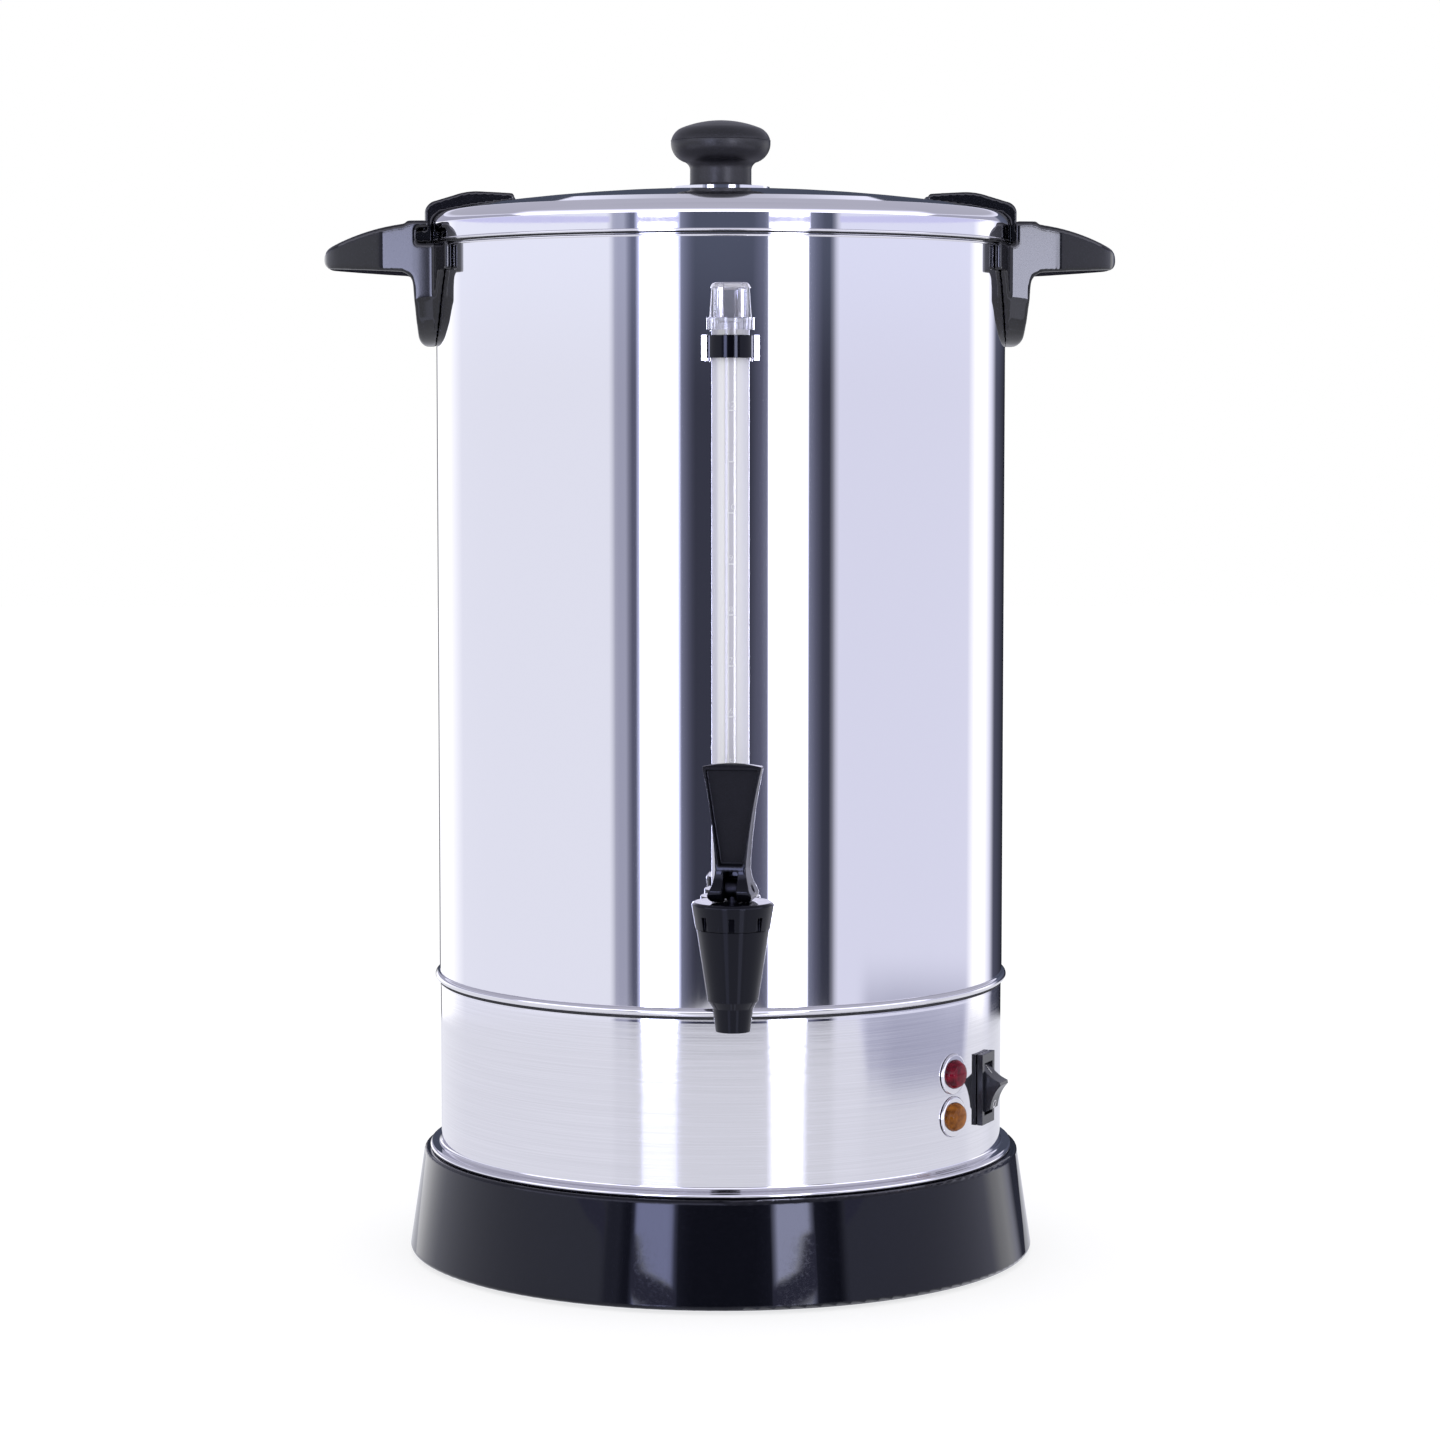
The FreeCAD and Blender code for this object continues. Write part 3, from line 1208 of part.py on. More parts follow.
def make_lever():
    """Paddle lever with a rolling foot and a fork, and the pin that joins it to the stem."""
    lever = body("tap_lever", azimuth="lever_turn", forward="tap_reach")
    side = sketch(lever, "YZ_Plane")
    round_z = "pin_z"
    outline(side, [
        ("-lever_foot_half + lever_foot_round", "lever_z", "lever_foot_round"),
        ("lever_foot_half - lever_foot_round", "lever_z"),
        ("lever_foot_half", round_z, "lever_foot_round"),
        ("lever_neck_thick", "lever_z + lever_waist_height", "lever_neck_sweep", "right"),
        ("lever_top_thick", "lever_top_z - lever_crown"),
        ("0", "lever_top_z", "lever_top_thick + 2"),
        ("-lever_top_thick", "lever_top_z - lever_crown", "lever_top_thick + 2"),
        ("-lever_neck_thick", "lever_z + lever_waist_height"),
        ("-lever_foot_half", round_z, "lever_neck_sweep", "right")])
    pad(lever, side, "2 * lever_top_half + 4", Midplane=True)
    front = sketch(lever, "XZ_Plane")
    box_outline(front, "-lever_top_half - 6", "lever_top_half + 6", "lever_z - 6", "lever_top_z + 6")
    outline(front, lever_front())
    pocket(lever, front, Midplane=True)
    recess = sketch(lever, "XZ_Plane", out="lever_neck_thick + 3")
    outline(recess, [
        ("-lever_waist_half + lever_rim", "lever_z + lever_waist_height + lever_recess_rise"),
        ("lever_waist_half - lever_rim", "lever_z + lever_waist_height + lever_recess_rise"),
        ("lever_top_half - lever_rim", "lever_top_z - lever_crown - lever_rim"),
        ("-lever_top_half + lever_rim", "lever_top_z - lever_crown - lever_rim")])
    pocket(lever, recess, "3 + lever_neck_thick - lever_web")
    fork = sketch(lever, "YZ_Plane")
    box_outline(fork, "-lever_foot_half - 2", "head_half + 2 * free_gap",
                "lever_z - 2", "lever_z + fork_height")
    pocket(lever, fork, "head_thick + 2 * free_gap", Midplane=True)
    eye = circle(sketch(lever, "YZ_Plane"), "0", "pin_z", "pin_radius + pin_gap")
    pocket(lever, eye, Midplane=True)
    keep("tap_lever", lever)

    pin = body("lever_pin", azimuth="lever_turn", forward="tap_reach")
    rod = circle(sketch(pin, "YZ_Plane"), "0", "pin_z", "pin_radius")
    pad(pin, rod, "2 * lever_bottom_half", Midplane=True)
    keep("lever_pin", pin)


def lever_front():
    """Front outline of the lever: rounded foot, narrow waist and a paddle that widens upwards."""
    right = [
        ("lever_bottom_half", "lever_z"),
        ("lever_cheek_half", "lever_z + lever_cheek_height", "lever_cheek_round"),
        ("lever_waist_half", "lever_z + lever_waist_height", "lever_cheek_sweep", "right"),
        ("lever_top_half", "lever_top_z - lever_crown", "lever_side_sweep", "right")]
    top = [
        ("0", "lever_top_z", "lever_top_sweep"),
        ("-lever_top_half", "lever_top_z - lever_crown", "lever_top_sweep")]
    left = [
        ("-lever_waist_half", "lever_z + lever_waist_height", "lever_side_sweep", "right"),
        ("-lever_cheek_half", "lever_z + lever_cheek_height", "lever_cheek_sweep", "right"),
        ("-lever_bottom_half", "lever_z", "lever_cheek_round")]
    return right + top + left


def make_fitting():
    """Tee between tap and tank whose socket holds the gauge tube, with its gaskets and nut."""
    tee = body("gauge_fitting", forward="gauge_reach")
    barrel = sketch(tee, "XZ_Plane", out="fitting_front - gauge_reach")
    circle(barrel, "0", "shank_height", "fitting_radius")
    pad(tee, barrel, "fitting_front - fitting_back", Reversed=True)
    socket = circle(sketch(tee, "XY_Plane", out="shank_height"), "0", "0", "socket_radius")
    pad(tee, socket, "socket_top - shank_height")
    groove(tee, outline(sketch(tee, "XZ_Plane"), [
        ("0", "shank_height"), ("passage_radius", "shank_height"), ("passage_radius", "socket_floor"),
        ("tube_radius + seat_gap", "socket_floor"), ("tube_radius + seat_gap", "socket_top"),
        ("0", "socket_top")]))
    flat = sketch(tee, "XY_Plane", out="shank_height")
    box_outline(flat, "-20", "20", "gauge_reach - fitting_back", "gauge_reach - fitting_back + 20")
    pocket(tee, flat, Reversed=True)
    bore = circle(sketch(tee, "XZ_Plane"), "0", "shank_height", "shank_radius + thread_gap")
    pocket(tee, bore, Midplane=True)
    keep("gauge_fitting", tee)

    gasket = body("fitting_gasket")
    ring = sketch(gasket, "XZ_Plane", out="fitting_back")
    circle(ring, "0", "shank_height", "gasket_radius")
    circle(ring, "0", "shank_height", "shank_radius + thread_gap")
    pad(gasket, ring, "fitting_back - tank_radius + 5", Reversed=True)
    wall = circle(sketch(gasket, "XY_Plane"), "0", "0", "tank_radius + seat_gap")
    pocket(gasket, wall, Reversed=True)
    keep("fitting_gasket", gasket)

    inner = body("inner_gasket")
    face = "tank_radius - tank_wall - seat_gap - inner_gasket_thick"
    ring = sketch(inner, "XZ_Plane", out=face)
    circle(ring, "0", "shank_height", "inner_gasket_radius")
    circle(ring, "0", "shank_height", "shank_radius + thread_gap")
    pad(inner, ring, "inner_gasket_thick + 1")
    wall = sketch(inner, "XY_Plane")
    circle(wall, "0", "0", "tank_radius + 20")
    circle(wall, "0", "0", "tank_radius - tank_wall - seat_gap")
    pocket(inner, wall, Reversed=True)
    keep("inner_gasket", inner)

    nut = body("tap_nut")
    drawing = hexagon(sketch(nut, "XZ_Plane", out=face), "shank_height", "tap_nut_flats")
    circle(drawing, "0", "shank_height", "shank_radius + pin_gap")
    pad(nut, drawing, "tap_nut_thick", Reversed=True)
    keep("tap_nut", nut)

    turned("gauge_seal", tube_corners(
        "passage_radius + seat_gap", "tube_radius", "socket_floor", "tube_foot_z"), forward="gauge_reach")


def make_gauge():
    """Clear gauge tube with the bush and open clip that hold its upper end to the tank."""
    turned("gauge_tube", [
        ("tube_bore", "tube_foot_z"), ("tube_radius", "tube_foot_z"),
        ("tube_radius", "tube_top - 0.6"), ("tube_radius - 0.6", "tube_top"),
        ("tube_bore", "tube_top")], forward="gauge_reach")
    turned("gauge_bush", tube_corners(
        "tube_radius + seat_gap", "bush_radius", "bush_low", "bush_low + bush_height"),
        forward="gauge_reach")
    clip = body("gauge_clip", forward="gauge_reach")
    ring = sketch(clip, "XZ_Plane", turn="90")
    box_outline(ring, "bush_radius + seat_gap", "bush_radius + seat_gap + clip_wall",
                "bush_low - clip_drop", "bush_low + bush_height")
    revolve(clip, ring, Angle="360 - 2 * clip_open", Midplane=True)
    lug = sketch(clip, "XZ_Plane", out="-(gauge_reach - tank_radius - 2 * seat_gap)")
    box_outline(lug, "-clip_pad_half", "clip_pad_half", "bush_low", "bush_low + bush_height")
    pad(clip, lug, "gauge_reach - tank_radius - 2 * seat_gap - bush_radius - clip_wall / 2")
    eye = circle(sketch(clip, "XZ_Plane"), "0", "bush_low + bush_height / 2",
                 "clip_screw_radius + pin_gap")
    pocket(clip, eye)
    keep("gauge_clip", clip)
    screw = body("clip_screw")
    head = "tank_radius - tank_wall - 2 * seat_gap"
    profile = sketch(screw, "YZ_Plane", up="bush_low + bush_height / 2")
    outline(profile, [
        ("-(gauge_reach - bush_radius - 3 * seat_gap)", "0"),
        (f"-({head} - clip_head_height)", "0"),
        (f"-({head} - clip_head_height)", "clip_head_radius"),
        (f"-({head})", "clip_head_radius"), (f"-({head})", "clip_screw_radius"),
        ("-(gauge_reach - bush_radius - 3 * seat_gap)", "clip_screw_radius")])
    revolve(screw, profile, axis="H_Axis")
    keep("clip_screw", screw)


def make_gauge_cap():
    """Clear screw cap with upright flats and a knurled ring, and the washer under its roof."""
    cap = turned("gauge_cap", [
        ("tube_radius + thread_gap", "cap_low"),
        ("cap_ring_radius", "cap_low"),
        ("cap_ring_radius", "cap_low + cap_ring_height"),
        ("cap_low_radius", "cap_low + cap_ring_height"),
        ("cap_top_radius", "cap_top_z - cap_top_round"),
        ("cap_top_radius - cap_top_round", "cap_top_z", "cap_top_round + 0.4"),
        ("0", "cap_top_z"),
        ("0", "cap_roof_z"),
        ("tube_radius + thread_gap", "cap_roof_z")], forward="gauge_reach")
    flat = sketch(cap, "XY_Plane", out="cap_low + cap_ring_height")
    box_outline(flat, "cap_flat_radius", "cap_low_radius + 2",
                "-cap_flat_width / 2", "cap_flat_width / 2")
    cut = pocket(cap, flat, "cap_height - cap_ring_height - cap_brow", Reversed=True)
    repeat_round(cap, cut, "cap_flats")
    knurl = sketch(cap, "XY_Plane", out="cap_low")
    box_outline(knurl, "cap_ring_radius - cap_knurl_depth", "cap_ring_radius + 2",
                "-cap_knurl_width / 2", "cap_knurl_width / 2")
    cut = pocket(cap, knurl, "cap_ring_height", Reversed=True)
    repeat_round(cap, cut, "cap_knurls")
    turned("gauge_cap_seal", [
        ("0", "cap_seal_z"), ("tube_radius - 0.6", "cap_seal_z"),
        ("tube_radius - 0.6", "cap_seal_z + cap_seal_thick"), ("0", "cap_seal_z + cap_seal_thick")],
        forward="gauge_reach")


def check_and_write():
    """Stops on any failed object or piece, then writes one file for each piece."""
    doc.recompute()
    for thing in doc.Objects:
        bad = [state for state in thing.State if state in ("Invalid", "Error")]
        if bad:
            raise RuntimeError(f"{thing.Name} is {bad}")
    os.makedirs("parts", exist_ok=True)
    for name, piece in parts.items():
        shape = piece.Shape
        if shape.isNull() or not shape.isValid() or not shape.Solids:
            raise RuntimeError(f"{name} has no valid solid")
    for name, piece in parts.items():
        piece.Shape.exportStep(f"parts/{name}.step")
    print(len(parts), "pieces written")


fill_tables()
make_tank()
make_band()
make_skirt()
make_base_plate()
make_feet()
make_tie()
make_heating()
make_thermostats()
make_shield()
make_terminal_block()
make_gland()
make_switch()
make_lamps()
make_handles()
make_handle_screws()
make_lid()
make_knob()
make_ears()
make_tap_body()
make_bonnet()
make_stem()
make_lever()
make_fitting()
make_gauge()
make_gauge_cap()
check_and_write()
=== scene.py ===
import bpy
import bmesh
from math import copysign, cos, radians, sin, sqrt, tau
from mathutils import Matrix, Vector
from mathutils.bvhtree import BVHTree


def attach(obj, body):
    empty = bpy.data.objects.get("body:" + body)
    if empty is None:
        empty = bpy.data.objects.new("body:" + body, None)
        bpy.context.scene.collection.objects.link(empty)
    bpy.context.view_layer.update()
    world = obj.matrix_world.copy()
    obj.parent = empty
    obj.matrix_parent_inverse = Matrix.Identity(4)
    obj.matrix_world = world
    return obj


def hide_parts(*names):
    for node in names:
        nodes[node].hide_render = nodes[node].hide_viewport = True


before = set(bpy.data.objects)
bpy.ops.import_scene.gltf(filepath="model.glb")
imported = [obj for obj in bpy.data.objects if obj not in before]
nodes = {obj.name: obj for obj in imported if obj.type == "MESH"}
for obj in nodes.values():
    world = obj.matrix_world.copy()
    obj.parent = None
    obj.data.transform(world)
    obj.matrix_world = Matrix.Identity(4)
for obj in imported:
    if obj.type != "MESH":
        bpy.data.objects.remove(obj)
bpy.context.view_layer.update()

MM = 0.001

# Studio
# The urn stands in a white room. A camera with a long lens looks slightly down at the tap side.
# Lit panels and dark flags stand round the room as upright stripes, and bare metal mirrors them.

CAMERA_PLACE = (-48.3 * MM, -1696.3 * MM, 366.9 * MM)
CAMERA_DIP = 4.414
CAMERA_SWING = -1.62
CAMERA_LENS = 95.82
CAMERA_SENSOR = 36

WHITE_PANEL = (0.64, 0.67, 0.96)
RIGHT_PANEL = (0.95, 0.97, 1.2)
LEFT_WALL = (0.094, 0.0955, 0.108)
RIGHT_WALL = (0.085, 0.086, 0.104)
DARK_FLAG = (0.0046, 0.0049, 0.0075)
DIM_FLAG = (0.012, 0.0125, 0.019)
GREY_FLAG = (0.026, 0.0275, 0.039)
PALE_FLAG = (0.041, 0.042, 0.055)
REAR_WHITE = (0.14, 0.14, 0.145)
REAR_DARK = (0.0085, 0.009, 0.0135)
REAR_BLACK = (0.0015, 0.0015, 0.0022)
PANEL_LIGHT = 10.0
# Degrees round the room, 0 at the camera and positive to its right, with what stands there
ROOM = [
    (-180, REAR_BLACK), (-170, REAR_BLACK), (-163, REAR_WHITE), (-146, REAR_WHITE),
    (-128, LEFT_WALL), (-44.5, LEFT_WALL), (-42, PALE_FLAG), (-37.5, PALE_FLAG),
    (-36, DIM_FLAG), (-32.5, DIM_FLAG), (-30.8, WHITE_PANEL), (-18.6, WHITE_PANEL),
    (-16.5, GREY_FLAG), (-13.5, DIM_FLAG), (-10.5, DARK_FLAG), (12.5, DARK_FLAG),
    (17, DIM_FLAG), (19, GREY_FLAG), (20.8, RIGHT_PANEL), (32.2, RIGHT_PANEL),
    (34.6, GREY_FLAG), (37.6, DIM_FLAG), (41, DARK_FLAG), (44.3, DARK_FLAG),
    (47.3, RIGHT_WALL), (118, RIGHT_WALL), (125, REAR_WHITE), (134, REAR_WHITE),
    (141, RIGHT_WALL), (147, REAR_DARK), (169, REAR_BLACK), (180, REAR_BLACK)]
# The flags stand clear below the first of these heights in degrees and in full haze at the second
HAZE = (0.05, 0.06, 0.09, 1)
HAZE_HEIGHTS = (0.3, 3.0)
# How bright the stripes may be, as shares of the brightest, by degrees of height up to a span:
# the panels have a gap near the top, and nothing stands above them
GAP_LIGHT = (0.058, 0.058, 0.085)
FULL_LIGHT = (1.0, 1.0, 1.0)
ABOVE_LIGHT = (0.035, 0.035, 0.045)
PANEL_GAP = [(3.2, FULL_LIGHT), (3.6, GAP_LIGHT), (4.2, GAP_LIGHT), (4.34, FULL_LIGHT),
             (5.42, FULL_LIGHT), (5.5, ABOVE_LIGHT)]
PANEL_GAP_SPAN = 10.0
BRIGHTEST = 12.5
# The ceiling's light by degrees of height, in front and behind. Its ramps hold the light divided
# by their range, and blue by a little less. It begins at an edge, lower in front than behind
FRONT_CEILING = [(6, 2.0), (13, 2.0), (25, 1.1), (32, 0.55), (90, 0.5)]
REAR_CEILING = [(15.5, 0.95), (17, 0.85), (20, 0.5), (90, 0.55)]
CEILING_RANGE = 4.0
CEILING_BLUE = 3.3
FRONT_EDGE = 6.1
REAR_EDGE = 15.2
EDGE_BLUR = 0.2
SIDE_BLUR = 0.1
OVERHEAD = 90.0
# A low cabinet at the right, by degrees round the room, shades the stripes as it comes closer
CABINET = [(55, 0.0), (63, 0.85), (76, 1.0), (116, 0.9), (123, 0.0)]
CABINET_TONE = (0.43, 0.44, 0.58, 1)
CABINET_HEIGHTS = (-7.8, -9.05)
# The pale table fades in between two heights, and lower down where the cabinet stands behind it
TABLE_TONE = (0.86, 0.87, 0.95, 1)
TABLE_HEIGHTS = (-8.72, -8.9)
TABLE_DROP = 1.1
TABLE_SHARE = 0.93
DAYLIGHT = (0.96, 0.96, 1, 1)
WHITE = (1, 1, 1, 1)

FLOOR_HALF = 6
FLOOR_SHARE = 0.42
FLOOR_LIGHT = 1.22


def linear(code):
    """Turns an sRGB hex code into linear light."""
    parts = [int(code[place:place + 2], 16) / 255 for place in (1, 3, 5)]
    light = [p / 12.92 if p <= 0.04045 else ((p + 0.055) / 1.055) ** 2.4 for p in parts]
    return (*light, 1.0)


def feed(tree, node, inputs):
    """Gives a node's inputs their numbers, or the outputs that drive them."""
    for name, given in inputs.items():
        if isinstance(given, bpy.types.NodeSocket):
            tree.links.new(given, node.inputs[name])
        elif given is not None:
            node.inputs[name].default_value = given


def add(tree, kind, settings=None, inputs=None, stops=None):
    """Adds a node with its settings, its inputs and, for a ramp, its stops."""
    node = tree.nodes.new(kind)
    for name, setting in (settings or {}).items():
        setattr(node, name, setting)
    feed(tree, node, inputs or {})
    if stops:
        steps = node.color_ramp.elements
        while len(steps) < len(stops):
            steps.new(1.0)
        for step, (place, colour) in zip(steps, stops):
            step.position = place
        for step, (place, colour) in zip(steps, stops):
            step.color = (*colour[:3], 1.0)
    return node


scene = bpy.context.scene
scene.view_settings.view_transform = "Standard"
camera = bpy.data.objects.new("camera", bpy.data.cameras.new("camera"))
camera.data.lens = CAMERA_LENS
camera.data.sensor_width = CAMERA_SENSOR
camera.location = CAMERA_PLACE
camera.rotation_euler = (radians(90 - CAMERA_DIP), 0, radians(CAMERA_SWING))
scene.collection.objects.link(camera)
scene.camera = camera

room = bpy.data.worlds.new("studio")
room.use_nodes = True
scene.world = room
tree = room.node_tree
tree.nodes.clear()
# Inputs 6 and 7 of a Mix node take its two colours, and output 2 gives their mixture
FIRST, SECOND, MIXTURE = 6, 7, 2
colours = {"data_type": "RGBA"}
soft = {"interpolation_type": "SMOOTHSTEP"}

# A ray's turn round the room from 0 at the far left to 1 at the far right, and its height
way = add(tree, "ShaderNodeSeparateXYZ", inputs={
    "Vector": add(tree, "ShaderNodeTexCoord").outputs["Generated"]})
back = add(tree, "ShaderNodeMath", {"operation": "MULTIPLY"}, {0: way.outputs["Y"], 1: -1.0})
turn = add(tree, "ShaderNodeMath", {"operation": "ARCTAN2"},
           {0: way.outputs["X"], 1: back.outputs[0]})
turn = add(tree, "ShaderNodeMath", {"operation": "ADD"},
           {0: turn.outputs[0], 1: radians(-CAMERA_SWING)})
turn = add(tree, "ShaderNodeMath", {"operation": "MULTIPLY_ADD"},
           {0: turn.outputs[0], 1: 1 / tau, 2: 0.5})
rise = add(tree, "ShaderNodeMath", {"operation": "ARCSINE"}, {0: way.outputs["Z"]})
rise = add(tree, "ShaderNodeMath", {"operation": "DEGREES"}, {0: rise.outputs[0]})

# The stripes, in a haze that begins at the height of the urn's rim
panels = add(tree, "ShaderNodeValToRGB", inputs={"Fac": turn.outputs[0]},
             stops=[(angle / 360 + 0.5, colour) for angle, colour in ROOM])
panels = add(tree, "ShaderNodeVectorMath", {"operation": "SCALE"},
             {0: panels.outputs["Color"], "Scale": PANEL_LIGHT})
haze = add(tree, "ShaderNodeMapRange", soft, {
    "Value": rise.outputs[0], "From Min": HAZE_HEIGHTS[0], "From Max": HAZE_HEIGHTS[1]})
panels = add(tree, "ShaderNodeMix", {**colours, "blend_type": "ADD"},
             {"Factor": haze.outputs["Result"], FIRST: panels.outputs[0], SECOND: HAZE})

# The cabinet in front of the lowest stripes
low = add(tree, "ShaderNodeMapRange", soft, {
    "Value": rise.outputs[0], "From Min": CABINET_HEIGHTS[0], "From Max": CABINET_HEIGHTS[1]})
cabinet = add(tree, "ShaderNodeValToRGB", inputs={"Fac": turn.outputs[0]},
              stops=[(angle / 360 + 0.5, (dark,) * 3) for angle, dark in CABINET])
cabinet.color_ramp.interpolation = "EASE"
shade = add(tree, "ShaderNodeMath", {"operation": "MULTIPLY"},
            {0: low.outputs["Result"], 1: cabinet.outputs["Color"]})
panels = add(tree, "ShaderNodeMix", colours, {
    "Factor": shade.outputs[0], FIRST: panels.outputs[MIXTURE], SECOND: CABINET_TONE})

# The gap near the top of the panels
gap = add(tree, "ShaderNodeMath", {"operation": "DIVIDE"},
          {0: rise.outputs[0], 1: PANEL_GAP_SPAN})
gap = add(tree, "ShaderNodeValToRGB", inputs={"Fac": gap.outputs[0]},
          stops=[(up / PANEL_GAP_SPAN, share) for up, share in PANEL_GAP])
gap = add(tree, "ShaderNodeVectorMath", {"operation": "SCALE"},
          {0: gap.outputs["Color"], "Scale": BRIGHTEST})
panels = add(tree, "ShaderNodeVectorMath", {"operation": "MINIMUM"},
             {0: panels.outputs[MIXTURE], 1: gap.outputs[0]})

# The ceiling, which reaches further down in front than behind
behind = add(tree, "ShaderNodeMapRange", soft, {
    "Value": way.outputs["Y"], "From Min": -SIDE_BLUR, "From Max": SIDE_BLUR})
edge = add(tree, "ShaderNodeMapRange", inputs={
    "Value": behind.outputs["Result"], "To Min": FRONT_EDGE, "To Max": REAR_EDGE})
over = add(tree, "ShaderNodeMath", {"operation": "SUBTRACT"},
           {0: rise.outputs[0], 1: edge.outputs["Result"]})
over = add(tree, "ShaderNodeMapRange", soft, {
    "Value": over.outputs[0], "From Min": -EDGE_BLUR, "From Max": EDGE_BLUR})
height = add(tree, "ShaderNodeMath", {"operation": "DIVIDE"}, {0: rise.outputs[0], 1: OVERHEAD})
front_ceiling, rear_ceiling = (
    add(tree, "ShaderNodeValToRGB", inputs={"Fac": height.outputs[0]},
        stops=[(up / OVERHEAD,
                (light / CEILING_RANGE, light / CEILING_RANGE, light / CEILING_BLUE))
               for up, light in ceiling_stops])
    for ceiling_stops in (FRONT_CEILING, REAR_CEILING))
ceiling = add(tree, "ShaderNodeMix", colours, {
    "Factor": behind.outputs["Result"], FIRST: front_ceiling.outputs["Color"],
    SECOND: rear_ceiling.outputs["Color"]})
ceiling = add(tree, "ShaderNodeVectorMath", {"operation": "SCALE"},
              {0: ceiling.outputs[MIXTURE], "Scale": CEILING_RANGE})
mirrored = add(tree, "ShaderNodeMix", colours, {
    "Factor": over.outputs["Result"], FIRST: panels.outputs[0], SECOND: ceiling.outputs[0]})

# The table, about nine degrees down
table = add(tree, "ShaderNodeMath", {"operation": "MULTIPLY_ADD"},
            {0: cabinet.outputs["Color"], 1: TABLE_DROP, 2: rise.outputs[0]})
table = add(tree, "ShaderNodeMapRange", soft, {
    "Value": table.outputs[0], "From Min": TABLE_HEIGHTS[0], "From Max": TABLE_HEIGHTS[1],
    "To Max": TABLE_SHARE})
mirrored = add(tree, "ShaderNodeMix", colours, {
    "Factor": table.outputs["Result"], FIRST: mirrored.outputs[MIXTURE], SECOND: TABLE_TONE})

# Gloss and clear plastic show the room, everything else gets plain daylight, and the camera white
ray = add(tree, "ShaderNodeLightPath")
seen_in_gloss = add(tree, "ShaderNodeMath", {"operation": "MAXIMUM"},
                    {0: ray.outputs["Is Glossy Ray"], 1: ray.outputs["Is Transmission Ray"]})
light = add(tree, "ShaderNodeMix", colours, {
    "Factor": seen_in_gloss.outputs[0], FIRST: DAYLIGHT, SECOND: mirrored.outputs[MIXTURE]})
light = add(tree, "ShaderNodeMix", colours, {
    "Factor": ray.outputs["Is Camera Ray"], FIRST: light.outputs[MIXTURE], SECOND: WHITE})
add(tree, "ShaderNodeOutputWorld", inputs={"Surface": add(
    tree, "ShaderNodeBackground", inputs={"Color": light.outputs[MIXTURE]}).outputs[0]})

floor = bpy.data.objects.new("floor", bpy.data.meshes.new("floor"))
floor.data.from_pydata(
    [(x * FLOOR_HALF, y * FLOOR_HALF, 0) for x, y in ((-1, -1), (1, -1), (1, 1), (-1, 1))],
    [], [(0, 1, 2, 3)])
floor.visible_glossy = False
scene.collection.objects.link(floor)
paper = bpy.data.materials.new("matt white paper")
paper.use_nodes = True
tree = paper.node_tree
tree.nodes.clear()
# Paper that shows pure white to the camera and still takes the urn's shadow
shown = add(tree, "ShaderNodeMixShader", inputs={
    "Fac": FLOOR_SHARE,
    1: add(tree, "ShaderNodeEmission", inputs={"Strength": FLOOR_LIGHT}).outputs[0],
    2: add(tree, "ShaderNodeBsdfDiffuse", inputs={"Color": (0.9, 0.9, 0.9, 1)}).outputs[0]})
lit = add(tree, "ShaderNodeMixShader", inputs={
    "Fac": add(tree, "ShaderNodeLightPath").outputs["Is Camera Ray"],
    1: add(tree, "ShaderNodeBsdfDiffuse", inputs={"Color": (0.8, 0.8, 0.8, 1)}).outputs[0],
    2: shown.outputs[0]})
add(tree, "ShaderNodeOutputMaterial", inputs={"Surface": lit.outputs[0]})
floor.data.materials.append(paper)

# Base plate, feet and their screws
# A round steel plate, pressed and zinc plated, closes the base from below. Four moulded rubber
# feet stand under it, each held by a pan-head screw that sinks into the foot.

FOOT_CIRCLE = 108 * MM
FOOT_HEAD_RADIUS = 3.8 * MM
FOOT_HEAD_HEIGHT = 2.4 * MM
FOOT_SEAT = 4.0 * MM
FOOT_SHANK_RADIUS = 2.0 * MM
FOOT_SHANK_END = 10.6 * MM
# Shares of a screw's head radius
CROWN_SHARE = 0.78
CROSS_LONG_SHARE = 1.15
CROSS_WIDE_SHARE = 0.26
# Points closer than this are one point
WELD = 0.001 * MM


def start_finish(name, edge=0.0):
    """A new material with one shader; its corners are softened to a radius in metres."""
    material = bpy.data.materials.new(name)
    material.use_nodes = True
    tree = material.node_tree
    tree.nodes.clear()
    shader = add(tree, "ShaderNodeBsdfPrincipled")
    add(tree, "ShaderNodeOutputMaterial", inputs={"Surface": shader.outputs["BSDF"]})
    place = add(tree, "ShaderNodeTexCoord").outputs["Object"]
    corner = None
    if edge:
        corner = add(tree, "ShaderNodeBevel", {"samples": 4}, {"Radius": edge}).outputs["Normal"]
    return material, tree, shader, place, corner


def dress(material, *names):
    """Puts a finish on solids that keep their shape."""
    for name in names:
        for place in nodes[name].material_slots:
            place.material = material


# Zinc plated steel: a dull silver with soft crystal patches of about 2 mm, slightly bluish.
zinc_steel, tree, shader, place, corner = start_finish("zinc plated steel, pressed", 0.2 * MM)
crystals = add(tree, "ShaderNodeTexVoronoi", {"feature": "SMOOTH_F1"},
               {"Vector": place, "Scale": 500.0, "Smoothness": 0.6})
haze = add(tree, "ShaderNodeTexNoise", inputs={"Vector": place, "Scale": 60.0, "Detail": 4.0})
tint = add(tree, "ShaderNodeValToRGB", inputs={"Fac": haze.outputs["Fac"]},
           stops=[(0.3, linear("#9EA3AA")), (0.7, linear("#C6CAD0"))])
gloss = add(tree, "ShaderNodeMapRange", inputs={
    "Value": crystals.outputs["Distance"], "To Min": 0.28, "To Max": 0.46})
bump = add(tree, "ShaderNodeBump", inputs={
    "Distance": 0.02 * MM, "Height": crystals.outputs["Distance"], "Normal": corner})
